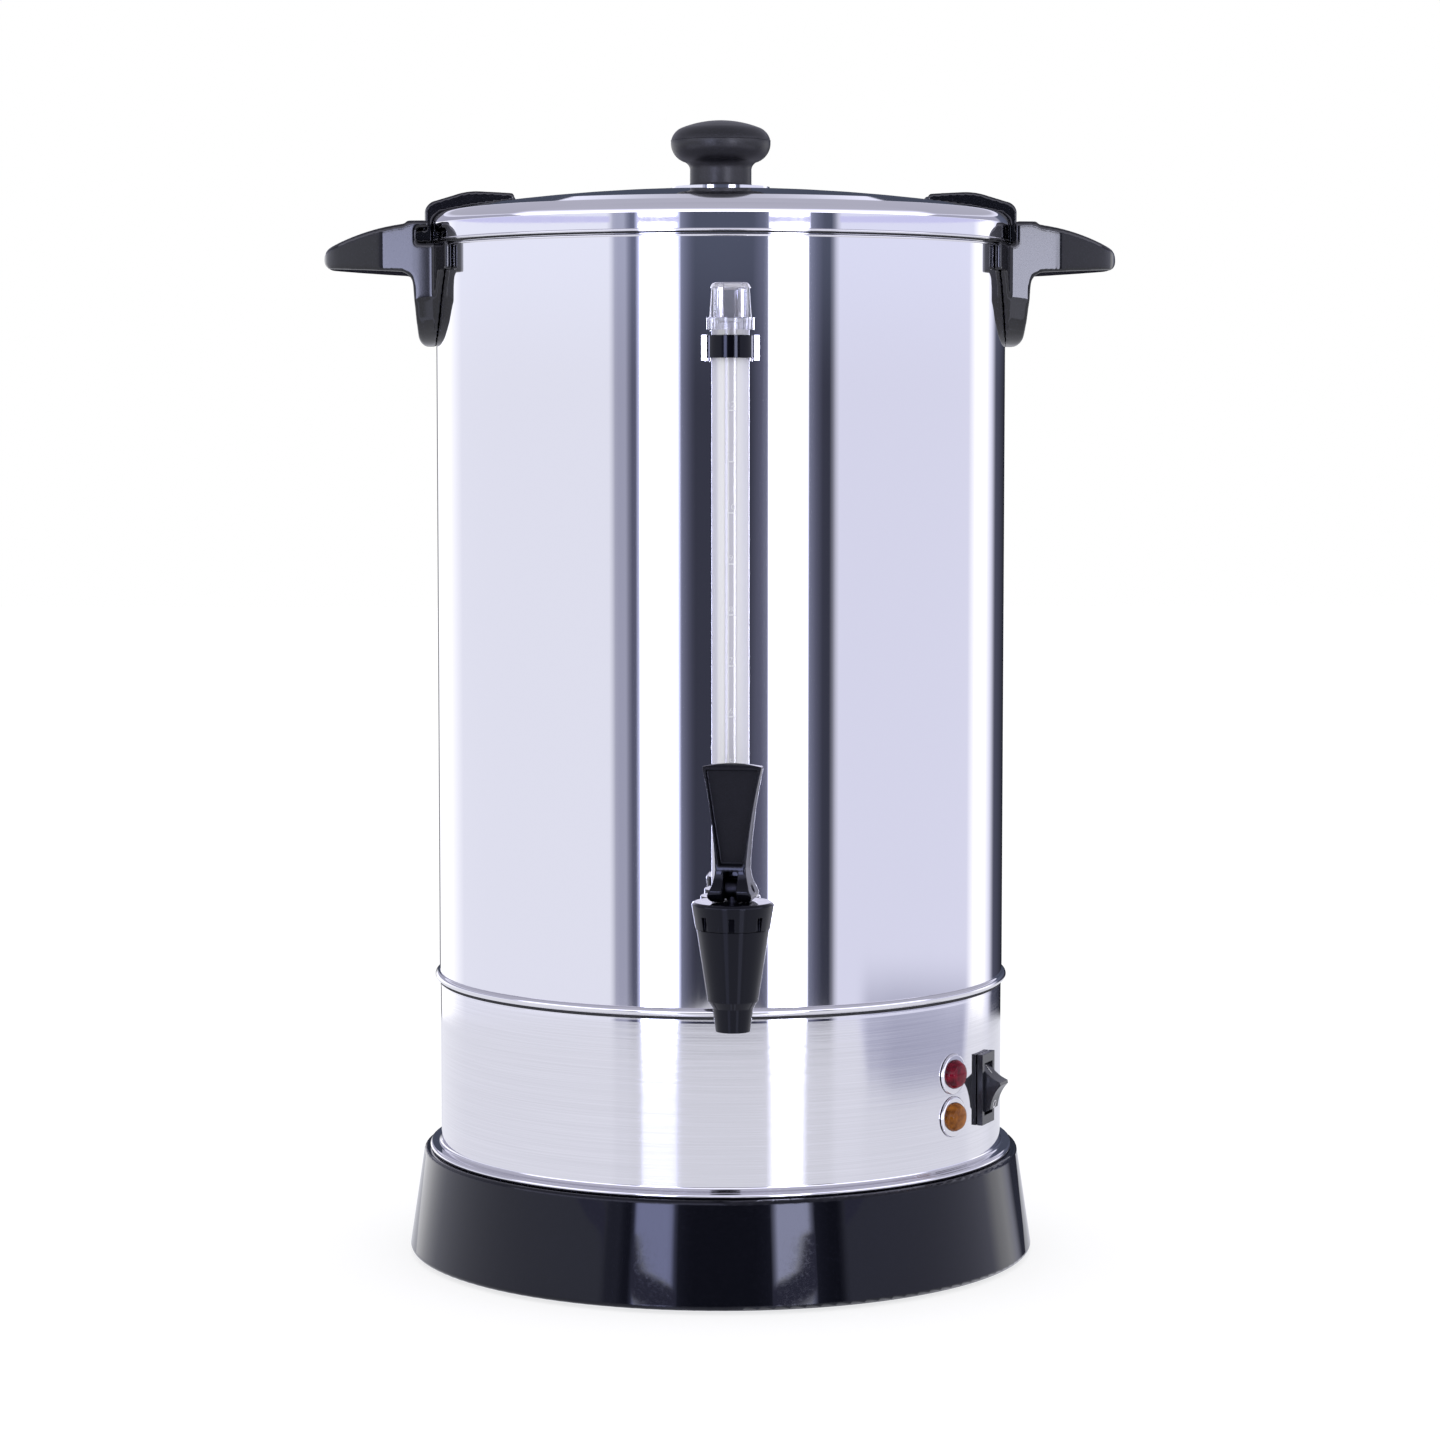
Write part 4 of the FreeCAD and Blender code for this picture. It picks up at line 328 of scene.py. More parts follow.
feed(tree, shader, {"Base Color": tint.outputs["Color"], "Metallic": 1.0,
                    "Roughness": gloss.outputs["Result"], "Normal": bump.outputs["Normal"]})

# Moulded rubber: near black and matt, with a fine grain of about 0.5 mm and a grey bloom.
rubber, tree, shader, place, corner = start_finish("black rubber, moulded", 0.4 * MM)
grain = add(tree, "ShaderNodeTexNoise", inputs={"Vector": place, "Scale": 2000.0, "Detail": 2.0})
bloom = add(tree, "ShaderNodeTexNoise", inputs={"Vector": place, "Scale": 90.0, "Detail": 5.0})
tint = add(tree, "ShaderNodeValToRGB", inputs={"Fac": bloom.outputs["Fac"]},
           stops=[(0.35, linear("#111113")), (0.75, linear("#232326"))])
bump = add(tree, "ShaderNodeBump", inputs={
    "Distance": 0.03 * MM, "Height": grain.outputs["Fac"], "Normal": corner})
feed(tree, shader, {"Base Color": tint.outputs["Color"], "Roughness": 0.72, "IOR": 1.52,
                    "Normal": bump.outputs["Normal"]})

dress(zinc_steel, "base_plate")
dress(rubber, "rubber_feet")

# A pan-head screw with a cross recess, set at each point of a mesh and turned to its "way"
screw_tree = bpy.data.node_groups.new("cross_head_screws", "GeometryNodeTree")
screw_tree.is_modifier = True
for label, kind in (("Places", "NodeSocketGeometry"), ("Head Radius", "NodeSocketFloat"),
                    ("Head Height", "NodeSocketFloat"), ("Shank Radius", "NodeSocketFloat"),
                    ("Shank Length", "NodeSocketFloat"), ("Recess Depth", "NodeSocketFloat"),
                    ("Finish", "NodeSocketMaterial")):
    screw_tree.interface.new_socket(name=label, in_out="INPUT", socket_type=kind)
screw_tree.interface.new_socket(name="Screws", in_out="OUTPUT", socket_type="NodeSocketGeometry")
given = add(screw_tree, "NodeGroupInput")
crown = add(screw_tree, "ShaderNodeMath", {"operation": "MULTIPLY"},
            {0: given.outputs["Head Radius"], 1: CROWN_SHARE})
head = add(screw_tree, "GeometryNodeMeshCone", inputs={
    "Vertices": 32, "Radius Top": crown.outputs[0], "Radius Bottom": given.outputs["Head Radius"],
    "Depth": given.outputs["Head Height"]})
span = add(screw_tree, "ShaderNodeMath", {"operation": "MULTIPLY"},
           {0: given.outputs["Head Radius"], 1: CROSS_LONG_SHARE})
narrow = add(screw_tree, "ShaderNodeMath", {"operation": "MULTIPLY"},
             {0: given.outputs["Head Radius"], 1: CROSS_WIDE_SHARE})
depth = add(screw_tree, "ShaderNodeMath", {"operation": "MULTIPLY"},
            {0: given.outputs["Recess Depth"], 1: 2.0})
lift = add(screw_tree, "ShaderNodeCombineXYZ", inputs={"Z": given.outputs["Head Height"]})
cut = head.outputs["Mesh"]
for long_side, short_side in ((span, narrow), (narrow, span)):
    size = add(screw_tree, "ShaderNodeCombineXYZ", inputs={
        "X": long_side.outputs[0], "Y": short_side.outputs[0], "Z": depth.outputs[0]})
    slot = add(screw_tree, "GeometryNodeMeshCube", inputs={"Size": size.outputs[0]})
    slot = add(screw_tree, "GeometryNodeTransform", inputs={
        "Geometry": slot.outputs["Mesh"], "Translation": lift.outputs[0]})
    cut = add(screw_tree, "GeometryNodeMeshBoolean", {"operation": "DIFFERENCE"},
              {"Mesh 1": cut, "Mesh 2": slot.outputs["Geometry"]}).outputs["Mesh"]
shank = add(screw_tree, "GeometryNodeMeshCylinder", inputs={
    "Vertices": 24, "Radius": given.outputs["Shank Radius"],
    "Depth": given.outputs["Shank Length"]})
drop = add(screw_tree, "ShaderNodeMath", {"operation": "MULTIPLY"},
           {0: given.outputs["Shank Length"], 1: -0.5})
shank = add(screw_tree, "GeometryNodeTransform", inputs={
    "Geometry": shank.outputs["Mesh"],
    "Translation": add(screw_tree, "ShaderNodeCombineXYZ",
                       inputs={"Z": drop.outputs[0]}).outputs[0]})
joined = add(screw_tree, "GeometryNodeJoinGeometry")
for part in (shank.outputs["Geometry"], cut):
    screw_tree.links.new(part, joined.inputs[0])
facing = add(screw_tree, "FunctionNodeAlignRotationToVector", {"axis": "Z"}, {
    "Vector": add(screw_tree, "GeometryNodeInputNamedAttribute", {"data_type": "FLOAT_VECTOR"},
                  {"Name": "way"}).outputs["Attribute"]})
screws = add(screw_tree, "GeometryNodeInstanceOnPoints", inputs={
    "Points": given.outputs["Places"], "Instance": joined.outputs[0],
    "Rotation": facing.outputs[0]})
screws = add(screw_tree, "GeometryNodeRealizeInstances", inputs={"Geometry": screws.outputs[0]})
screws = add(screw_tree, "GeometryNodeSetMaterial", inputs={
    "Geometry": screws.outputs[0], "Material": given.outputs["Finish"]})
add(screw_tree, "NodeGroupOutput", inputs={"Screws": screws.outputs[0]})


def grow(name, tree, places, ways, **given):
    """Runs a geometry tree on points with directions and keeps the result as a plain mesh."""
    mesh = bpy.data.meshes.new(name)
    mesh.from_pydata([tuple(p) for p in places], [], [])
    facing = mesh.attributes.new("way", "FLOAT_VECTOR", "POINT")
    facing.data.foreach_set("vector", [c for w in ways for c in w])
    piece = bpy.data.objects.new(name, mesh)
    scene.collection.objects.link(piece)
    maker = piece.modifiers.new("maker", "NODES")
    maker.node_group = tree
    for socket in tree.interface.items_tree:
        label = socket.name.lower().replace(" ", "_")
        if socket.in_out == "INPUT" and label in given:
            maker[socket.identifier] = given[label]
    bpy.context.view_layer.update()
    finished = piece.evaluated_get(bpy.context.evaluated_depsgraph_get())
    piece.data = bpy.data.meshes.new_from_object(finished)
    piece.modifiers.clear()
    piece.data.name = name
    return piece


quarters = [(x, y) for x in (-1, 1) for y in (-1, 1)]
foot_screws = grow(
    "cross_head_foot_screws", screw_tree,
    [(x * FOOT_CIRCLE / sqrt(2), y * FOOT_CIRCLE / sqrt(2), FOOT_SEAT) for x, y in quarters],
    [(0, 0, -1)] * 4, head_radius=FOOT_HEAD_RADIUS, head_height=FOOT_HEAD_HEIGHT,
    shank_radius=FOOT_SHANK_RADIUS, shank_length=FOOT_SHANK_END - FOOT_SEAT,
    recess_depth=1.5 * MM, finish=zinc_steel)
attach(foot_screws, "urn")
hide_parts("foot_screws")

# Skirt and cord gland
# The skirt is a hollow cone moulded in polypropylene, high gloss outside. The gland at its back
# is soft rubber that snaps into a hole and guides the cord.

# Glossy polypropylene: blue black, mirrors the room, with a faint moulding swell of 30 mm and dust
# of about 1.5 mm that dulls it in places.
gloss_plastic, tree, shader, place, corner = start_finish(
    "black polypropylene, high gloss moulding", 0.8 * MM)
swell = add(tree, "ShaderNodeTexNoise", inputs={"Vector": place, "Scale": 34.0, "Detail": 1.0})
dust = add(tree, "ShaderNodeTexNoise", inputs={"Vector": place, "Scale": 700.0, "Detail": 3.0})
gloss = add(tree, "ShaderNodeMapRange", inputs={
    "Value": dust.outputs["Fac"], "From Min": 0.45, "From Max": 0.8,
    "To Min": 0.02, "To Max": 0.045})
tint = add(tree, "ShaderNodeValToRGB", inputs={"Fac": dust.outputs["Fac"]},
           stops=[(0.5, linear("#0A0A10")), (0.85, linear("#121219"))])
bump = add(tree, "ShaderNodeBump", inputs={
    "Distance": 0.008 * MM, "Height": swell.outputs["Fac"], "Normal": corner})
feed(tree, shader, {"Base Color": tint.outputs["Color"], "Roughness": gloss.outputs["Result"],
                    "IOR": 1.4, "Specular Tint": (0.78, 0.8, 0.95, 1.0),
                    "Normal": bump.outputs["Normal"]})
dress(gloss_plastic, "base_skirt")
dress(rubber, "cord_gland")

# Heating and wiring space
# Behind the band sit the cast aluminium heater plate with its two sheathed rings, the two round
# thermostats, the steel dish that shields the wiring, and a porcelain block for the cord's ends.

# Cast aluminium: pale matt grey with a sandy skin of about 1 mm.
cast_aluminium, tree, shader, place, corner = start_finish("aluminium, die cast", 0.3 * MM)
sand = add(tree, "ShaderNodeTexNoise", inputs={"Vector": place, "Scale": 1000.0, "Detail": 4.0})
tint = add(tree, "ShaderNodeValToRGB", inputs={"Fac": sand.outputs["Fac"]},
           stops=[(0.3, linear("#A8A9AB")), (0.7, linear("#CFD0D1"))])
bump = add(tree, "ShaderNodeBump", inputs={
    "Distance": 0.08 * MM, "Height": sand.outputs["Fac"], "Normal": corner})
feed(tree, shader, {"Base Color": tint.outputs["Color"], "Metallic": 1.0, "Roughness": 0.48,
                    "Normal": bump.outputs["Normal"]})

# Heater sheath: steel blued and browned by heat, in bands of 20 mm along the ring.
sheath_steel, tree, shader, place, corner = start_finish("heater sheath, heat tinted steel")
heat = add(tree, "ShaderNodeTexNoise", inputs={"Vector": place, "Scale": 50.0, "Detail": 3.0})
tint = add(tree, "ShaderNodeValToRGB", inputs={"Fac": heat.outputs["Fac"]},
           stops=[(0.3, linear("#4A4E5C")), (0.5, linear("#6B5A4C")), (0.7, linear("#8A8580"))])
feed(tree, shader, {"Base Color": tint.outputs["Color"], "Metallic": 1.0, "Roughness": 0.42})

# Glazed porcelain: warm white under a clear glaze, with a few pinholes.
porcelain, tree, shader, place, corner = start_finish("porcelain, glazed", 0.4 * MM)
pits = add(tree, "ShaderNodeTexNoise", inputs={"Vector": place, "Scale": 600.0, "Detail": 2.0})
tint = add(tree, "ShaderNodeValToRGB", inputs={"Fac": pits.outputs["Fac"]},
           stops=[(0.25, linear("#D8D2C2")), (0.5, linear("#EDE9DD"))])
feed(tree, shader, {"Base Color": tint.outputs["Color"], "Roughness": 0.35, "IOR": 1.52,
                    "Coat Weight": 0.6, "Coat Roughness": 0.08, "Normal": corner})

dress(cast_aluminium, "heater_plate")
dress(sheath_steel, "heater_element", "keep_warm_element")
dress(zinc_steel, "tie_rod", "tie_nut", "shield_nut", "heat_shield", "boil_thermostat",
      "overheat_cutout")
dress(porcelain, "terminal_block")

# Band
# A ring of thin stainless sheet, brushed round and round, stands between skirt and tank. Its
# foot is rolled out over a cove into a lip, and its top edge is folded over and shines. A thin
# black rubber ring at the seam is painted shade: it stands for the shadow gap under the tank's
# foot bead.

FOLD_FOOT = 119.3 * MM
FOLD_TOP = 120.3 * MM
FOLD_REACH = 124.66 * MM
FOLD_LEAN = 0.02 * MM
FOLD_DEEP = 0.5 * MM
SEAM_FOOT = 121.0 * MM
SEAM_TOP = 122.2 * MM
SEAM_REACH = 125.0 * MM
SEAM_DEEP = 1.0 * MM
# An edge that turns by more than this stays sharp
SHARP_TURN = radians(40)

# Brushed stainless steel: hair lines run level round the ring and smear what it mirrors up and
# down. The real lines are 0.05 mm apart and are drawn at 0.2 mm, so that they show.
brushed_steel, tree, shader, place, corner = start_finish("stainless steel, brushed level")
level = add(tree, "ShaderNodeMapping", inputs={"Vector": place, "Scale": (14, 14, 5000)})
hair = add(tree, "ShaderNodeTexNoise", inputs={
    "Vector": level.outputs["Vector"], "Scale": 1.0, "Detail": 3.0, "Roughness": 0.6})
strokes = add(tree, "ShaderNodeMapping", inputs={"Vector": place, "Scale": (11, 11, 1500)})
strokes = add(tree, "ShaderNodeTexNoise", inputs={
    "Vector": strokes.outputs["Vector"], "Scale": 1.0, "Detail": 3.0})
tint = add(tree, "ShaderNodeValToRGB", inputs={"Fac": hair.outputs["Fac"]},
           stops=[(0.3, linear("#DEDDE1")), (0.7, linear("#E9E8EC"))])
gloss = add(tree, "ShaderNodeMapRange", inputs={
    "Value": strokes.outputs["Fac"], "From Min": 0.3, "From Max": 0.7,
    "To Min": 0.035, "To Max": 0.07})
bump = add(tree, "ShaderNodeBump", inputs={
    "Distance": 0.0008 * MM, "Height": hair.outputs["Fac"]})
round_tank = add(tree, "ShaderNodeTangent", {"direction_type": "RADIAL", "axis": "Z"})
feed(tree, shader, {"Base Color": tint.outputs["Color"], "Metallic": 1.0,
                    "Roughness": gloss.outputs["Result"], "Anisotropic": 0.3,
                    "Anisotropic Rotation": 0.25, "Tangent": round_tank.outputs[0],
                    "Normal": bump.outputs["Normal"]})
dress(brushed_steel, "base_band")

# Polished stainless steel: a cool mirror with a trace of the polishing wheel in it.
mirror_steel, tree, shader, place, corner = start_finish("stainless steel, mirror polished")
wheel = add(tree, "ShaderNodeMapping", inputs={"Vector": place, "Scale": (260, 260, 7)})
wheel = add(tree, "ShaderNodeTexNoise", inputs={
    "Vector": wheel.outputs["Vector"], "Scale": 1.0, "Detail": 2.0})
gloss = add(tree, "ShaderNodeMapRange", inputs={
    "Value": wheel.outputs["Fac"], "From Min": 0.3, "From Max": 0.7,
    "To Min": 0.02, "To Max": 0.035})
draw = add(tree, "ShaderNodeMapping", inputs={"Vector": place, "Scale": (14, 14, 3)})
draw = add(tree, "ShaderNodeTexNoise", inputs={
    "Vector": draw.outputs["Vector"], "Scale": 1.0, "Detail": 1.0})
bump = add(tree, "ShaderNodeBump", inputs={"Distance": 0.015 * MM, "Height": draw.outputs["Fac"]})
feed(tree, shader, {"Base Color": linear("#E4E3E6"), "Metallic": 1.0,
                    "Roughness": gloss.outputs["Result"], "Normal": bump.outputs["Normal"]})


def keep(piece, finish, body, slot, *replaced):
    """Smooths a finished piece, gives it its finish and fixes it to its body."""
    piece.data.polygons.foreach_set("use_smooth", [True] * len(piece.data.polygons))
    piece.data.materials.clear()
    piece.data.materials.append(finish)
    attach(piece, body)
    if replaced:
        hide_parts(*replaced)
    return piece


def turned(name, outline, steps=240):
    """A ring with a closed outline of radius and height points, turned round the urn's axis."""
    count = len(outline)
    points = [(r * cos(tau * s / steps), r * sin(tau * s / steps), z)
              for s in range(steps) for r, z in outline]
    faces = [(s * count + k, s * count + (k + 1) % count,
              (s + 1) % steps * count + (k + 1) % count, (s + 1) % steps * count + k)
             for s in range(steps) for k in range(count)]
    mesh = bpy.data.meshes.new(name)
    mesh.from_pydata(points, [], faces)
    shape = bmesh.new()
    shape.from_mesh(mesh)
    bmesh.ops.recalc_face_normals(shape, faces=shape.faces)
    shape.to_mesh(mesh)
    shape.free()
    mesh.set_sharp_from_angle(angle=SHARP_TURN)
    ring = bpy.data.objects.new(name, mesh)
    scene.collection.objects.link(ring)
    return ring


# Painted shade: a black rubber ring where the shadow gap under the tank's foot bead lies
seam = turned("seam_ring", [
    (SEAM_REACH - SEAM_DEEP, SEAM_FOOT), (SEAM_REACH, SEAM_FOOT),
    (SEAM_REACH, SEAM_TOP), (SEAM_REACH - SEAM_DEEP, SEAM_TOP)])
keep(seam, rubber, "urn", "black_rubber")
fold = turned("band_fold", [
    (FOLD_REACH - FOLD_DEEP, FOLD_FOOT), (FOLD_REACH, FOLD_FOOT),
    (FOLD_REACH - FOLD_LEAN, FOLD_TOP), (FOLD_REACH - FOLD_DEEP, FOLD_TOP)])
keep(fold, mirror_steel, "urn", "brushed_steel")

# Tank
# A deep-drawn stainless vessel, polished to a mirror. A bead rolled into its foot sits on the
# band, its rim is curled outwards, and a small bead runs just below the lid. Under the lid's hem
# a thin black rubber ring is painted shade, standing for the dark crease there.

TANK_RADIUS = 125.0 * MM
POLISHED_DEPTH = 0.3 * MM
RIM_BEAD_REACH = 125.1 * MM
RIM_BEAD_HEIGHT = 443.95 * MM
RIM_BEAD_ROUND = 0.55 * MM
LINE_FOOT = 444.8 * MM
LINE_TOP = 445.4 * MM
LINE_REACH = 126.3 * MM
FOOT_BEAD_HEIGHT = 124.0 * MM
FOOT_BEAD_ROUND = 1.85 * MM
# Steps round the urn where a mirror shows every flat
FINE_STEPS = 480

# The same steel for the vessel, left satin inside, where the polishing wheel doesn't reach.
vessel_steel = mirror_steel.copy()
vessel_steel.name = "stainless steel, mirror polished outside"
tree = vessel_steel.node_tree
shader = next(node for node in tree.nodes if node.type == "BSDF_PRINCIPLED")
level = add(tree, "ShaderNodeVectorMath", {"operation": "MULTIPLY"}, {
    0: add(tree, "ShaderNodeTexCoord").outputs["Object"], 1: (1, 1, 0)})
reach = add(tree, "ShaderNodeVectorMath", {"operation": "LENGTH"}, {0: level.outputs["Vector"]})
outside = add(tree, "ShaderNodeMath", {"operation": "GREATER_THAN"},
              {0: reach.outputs["Value"], 1: TANK_RADIUS - POLISHED_DEPTH})
gloss = add(tree, "ShaderNodeMix", inputs={
    "Factor": outside.outputs[0], "A": 0.42, "B": shader.inputs["Roughness"].links[0].from_socket})
feed(tree, shader, {"Roughness": gloss.outputs["Result"]})
dress(vessel_steel, "tank_vessel")


def arc(across, height, reach, turns):
    """Outline points at the given degrees round a centre, which has a radius and a height."""
    return [(across + reach * cos(radians(turn)), height + reach * sin(radians(turn)))
            for turn in turns]


rim_bead = turned("rim_bead", arc(
    RIM_BEAD_REACH, RIM_BEAD_HEIGHT, RIM_BEAD_ROUND, range(0, 360, 30)))
keep(rim_bead, mirror_steel, "urn", "polished_steel")
# Painted shade: a thin black rubber ring for the dark crease under the lid's hem
line = turned("rim_line", [(TANK_RADIUS, LINE_FOOT), (LINE_REACH, LINE_FOOT),
                           (LINE_REACH, LINE_TOP), (TANK_RADIUS, LINE_TOP)])
keep(line, rubber, "urn", "black_rubber")
foot_bead = turned("foot_bead", arc(
    TANK_RADIUS, FOOT_BEAD_HEIGHT, FOOT_BEAD_ROUND, [k * 11.25 for k in range(-8, 9)]),
    FINE_STEPS)
keep(foot_bead, mirror_steel, "urn", "polished_steel")

# Switch
# A rocker switch snapped into the band: a bezel and a tent-shaped rocker moulded in ABS. A ring
# and a bar for off and on are printed in white on the rocker's two flanks.

SWITCH_AZIMUTH = radians(64.4)
SWITCH_REACH = 125.0 * MM
OFF_HEIGHT = 72.9 * MM
ON_HEIGHT = 88.0 * MM
MARK_TALL = 3.4 * MM
# A mark starts this far out, is laid on the skin and stands a hair proud of it
MARK_START = 20 * MM
INK_LIFT = 0.02 * MM
INK_FILM = 0.1 * MM

# Satin ABS: black with a cool tone, a little softer in its shine than the skirt.
abs_plastic, tree, shader, place, corner = start_finish("black ABS, satin moulding", 0.5 * MM)
skin = add(tree, "ShaderNodeTexNoise", inputs={"Vector": place, "Scale": 3000.0, "Detail": 2.0})
gloss = add(tree, "ShaderNodeMapRange", inputs={
    "Value": skin.outputs["Fac"], "To Min": 0.16, "To Max": 0.26})
bump = add(tree, "ShaderNodeBump", inputs={
    "Distance": 0.006 * MM, "Height": skin.outputs["Fac"], "Normal": corner})
feed(tree, shader, {"Base Color": linear("#1D1E26"), "Roughness": gloss.outputs["Result"],
                    "IOR": 1.45, "Normal": bump.outputs["Normal"]})
dress(abs_plastic, "switch_housing", "switch_rocker", "red_lamp_body", "amber_lamp_body")

# Pad printing ink: dull white, thin enough to let a little of the ground through.
ink, tree, shader, place, corner = start_finish("white pad printing ink")
cover = add(tree, "ShaderNodeTexNoise", inputs={"Vector": place, "Scale": 2500.0, "Detail": 2.0})
tint = add(tree, "ShaderNodeValToRGB", inputs={"Fac": cover.outputs["Fac"]},
           stops=[(0.3, linear("#DCDCE2")), (0.6, linear("#F2F2F6"))])
feed(tree, shader, {"Base Color": tint.outputs["Color"], "Roughness": 0.45, "IOR": 1.5})


def bake(piece):
    """Turns a piece with its modifiers into a plain mesh."""
    bpy.context.view_layer.update()
    finished = piece.evaluated_get(bpy.context.evaluated_depsgraph_get())
    piece.data = bpy.data.meshes.new_from_object(finished)
    piece.modifiers.clear()
    piece.data.name = piece.name
    return piece


def printed(name, marks, tall, way, ground):
    """Letters laid on a solid: each is pushed back against the way until it meets the skin."""
    skin = BVHTree.FromPolygons([v.co for v in ground.data.vertices],
                                [p.vertices for p in ground.data.polygons])
    way = Vector(way).normalized()
    side = Vector((0, 0, 1)).cross(way)
    points, faces = [], []
    for words, spot in marks:
        letters = bpy.data.objects.new("letters", bpy.data.curves.new("letters", "FONT"))
        letters.data.body = words
        letters.data.align_x = "CENTER"
        letters.data.align_y = "CENTER"
        scene.collection.objects.link(letters)
        bpy.context.view_layer.update()
        flat = bpy.data.meshes.new_from_object(
            letters.evaluated_get(bpy.context.evaluated_depsgraph_get()))
        bpy.data.objects.remove(letters)
        heights = [v.co.y for v in flat.vertices]
        grown = tall / (max(heights) - min(heights))
        start = len(points)
        for v in flat.vertices:
            over = Vector(spot) + side * v.co.x * grown + Vector((0, 0, v.co.y * grown))
            met = skin.ray_cast(over + way * MARK_START, -way)[0]
            points.append((met or over) + way * INK_LIFT)
        faces += [[start + k for k in p.vertices] for p in flat.polygons]
    mesh = bpy.data.meshes.new(name)
    mesh.from_pydata(points, [], faces)
    shape = bmesh.new()
    shape.from_mesh(mesh)
    bmesh.ops.remove_doubles(shape, verts=shape.verts, dist=WELD)
    shape.to_mesh(mesh)
    shape.free()
    piece = bpy.data.objects.new(name, mesh)
    scene.collection.objects.link(piece)
    film = piece.modifiers.new("film", "SOLIDIFY")
    film.thickness = INK_FILM
    film.offset = 0.0
    return bake(piece)


switch_way = (sin(SWITCH_AZIMUTH), -cos(SWITCH_AZIMUTH), 0)
switch_marks = [(mark, (SWITCH_REACH * switch_way[0], SWITCH_REACH * switch_way[1], height))
                for mark, height in (("O", OFF_HEIGHT), ("I", ON_HEIGHT))]
marks = printed("off_and_on_marks", switch_marks, MARK_TALL, switch_way, nodes["switch_rocker"])
keep(marks, ink, "switch_rocker", "black_plastic")

# Pilot lamps
# Two blunt cones moulded in tinted polycarbonate, each in a thin bright ring. A lamp is pushed
# through a hole in the band, and its black body holds it from behind.

LAMP_AZIMUTH = radians(51.1)
RED_HEIGHT = 90.0 * MM
AMBER_HEIGHT = 71.6 * MM
# Radius, and distance from the urn's axis, along the lens from its back to its rounded face
LENS_OUTLINE = [(0.0, 120.7), (6.15, 120.7), (6.15, 126.5), (6.08, 126.8), (5.9, 127.1),
                (5.2, 128.25), (4.95, 128.6), (4.6, 128.8), (3.6, 128.95), (0.0, 129.1)]
LENS_STEPS = 64
LENS_WELD = 0.01 * MM


def lens_finish(name, deep, pale):
    """Tinted polycarbonate: dark in its depth, clear and glossy at its skin."""
    material, tree, shader, place, corner = start_finish(name)
    cloud = add(tree, "ShaderNodeTexNoise", inputs={"Vector": place, "Scale": 260.0})
    tint = add(tree, "ShaderNodeValToRGB", inputs={"Fac": cloud.outputs["Fac"]},
               stops=[(0.35, linear(deep)), (0.65, linear(pale))])
    feed(tree, shader, {"Base Color": tint.outputs["Color"], "Roughness": 0.05, "IOR": 1.28})
    return material


def lens(name, height, finish):
    """A blunt cone turned round the lamp's own axis and set in the band."""
    piece = turned(name + "_cone", [(r * MM, out * MM) for r, out in LENS_OUTLINE], LENS_STEPS)
    outward = Vector((sin(LAMP_AZIMUTH), -cos(LAMP_AZIMUTH), 0))
    side = Vector((cos(LAMP_AZIMUTH), sin(LAMP_AZIMUTH), 0))
    for v in piece.data.vertices:
        across, up, out = v.co
        v.co = side * across + Vector((0, 0, up + height)) + outward * out
    shape = bmesh.new()
    shape.from_mesh(piece.data)
    bmesh.ops.remove_doubles(shape, verts=shape.verts, dist=LENS_WELD)
    bmesh.ops.recalc_face_normals(shape, faces=shape.faces)
    shape.to_mesh(piece.data)
    shape.free()
    piece.data.set_sharp_from_angle(angle=SHARP_TURN)
    keep(piece, finish, "urn", name, name)


lens("red_lens", RED_HEIGHT, lens_finish("red polycarbonate, moulded", "#4E0719", "#82132A"))
lens("amber_lens", AMBER_HEIGHT, lens_finish("amber polycarbonate, moulded", "#6E3D10", "#A3621E"))
dress(mirror_steel, "red_lamp_bezel", "amber_lamp_bezel")

# Handles
# Two handles compression moulded in phenolic resin, each held by two screws from inside. Their
# edges are well rounded, as the mould and the polishing drum leave them.

HANDLE_SCREW_FACE = 124.05 * MM
HANDLE_SCREW_HEIGHTS = (410.9 * MM, 436.9 * MM)
# The grip's sides bend slowly along their first 22 mm. What lies within its core stays straight
GRIP_ROOT = 125 * MM
GRIP_BEND_LONG = 22 * MM
GRIP_LEAN = 0.122
GRIP_CORE = 18 * MM
GRIP_SKIN = 6 * MM
HANDLE_GRAIN = 0.6 * MM


def phenolic_finish(name, ground, speck, least_dull, most_dull, relief):
    """Phenolic resin: blue black with faint specks of filler about 0.6 mm apart."""
    material, tree, shader, place, corner = start_finish(name)
    filler = add(tree, "ShaderNodeTexNoise", inputs={
        "Vector": place, "Scale": 1700.0, "Detail": 2.0})
    tint = add(tree, "ShaderNodeValToRGB", inputs={"Fac": filler.outputs["Fac"]},
               stops=[(0.5, linear(ground)), (0.75, linear(speck))])
    gloss = add(tree, "ShaderNodeMapRange", inputs={
        "Value": filler.outputs["Fac"], "To Min": least_dull, "To Max": most_dull})
    bump = add(tree, "ShaderNodeBump", inputs={
        "Distance": relief, "Height": filler.outputs["Fac"]})
    feed(tree, shader, {"Base Color": tint.outputs["Color"], "IOR": 1.5,
                        "Roughness": gloss.outputs["Result"], "Normal": bump.outputs["Normal"]})
    return material


# The handles and ears are drum polished, so that they gleam.
phenolic = phenolic_finish("black phenolic, compression moulded", "#0C0C12", "#22222B",
                           least_dull=0.04, most_dull=0.08, relief=0.002 * MM)


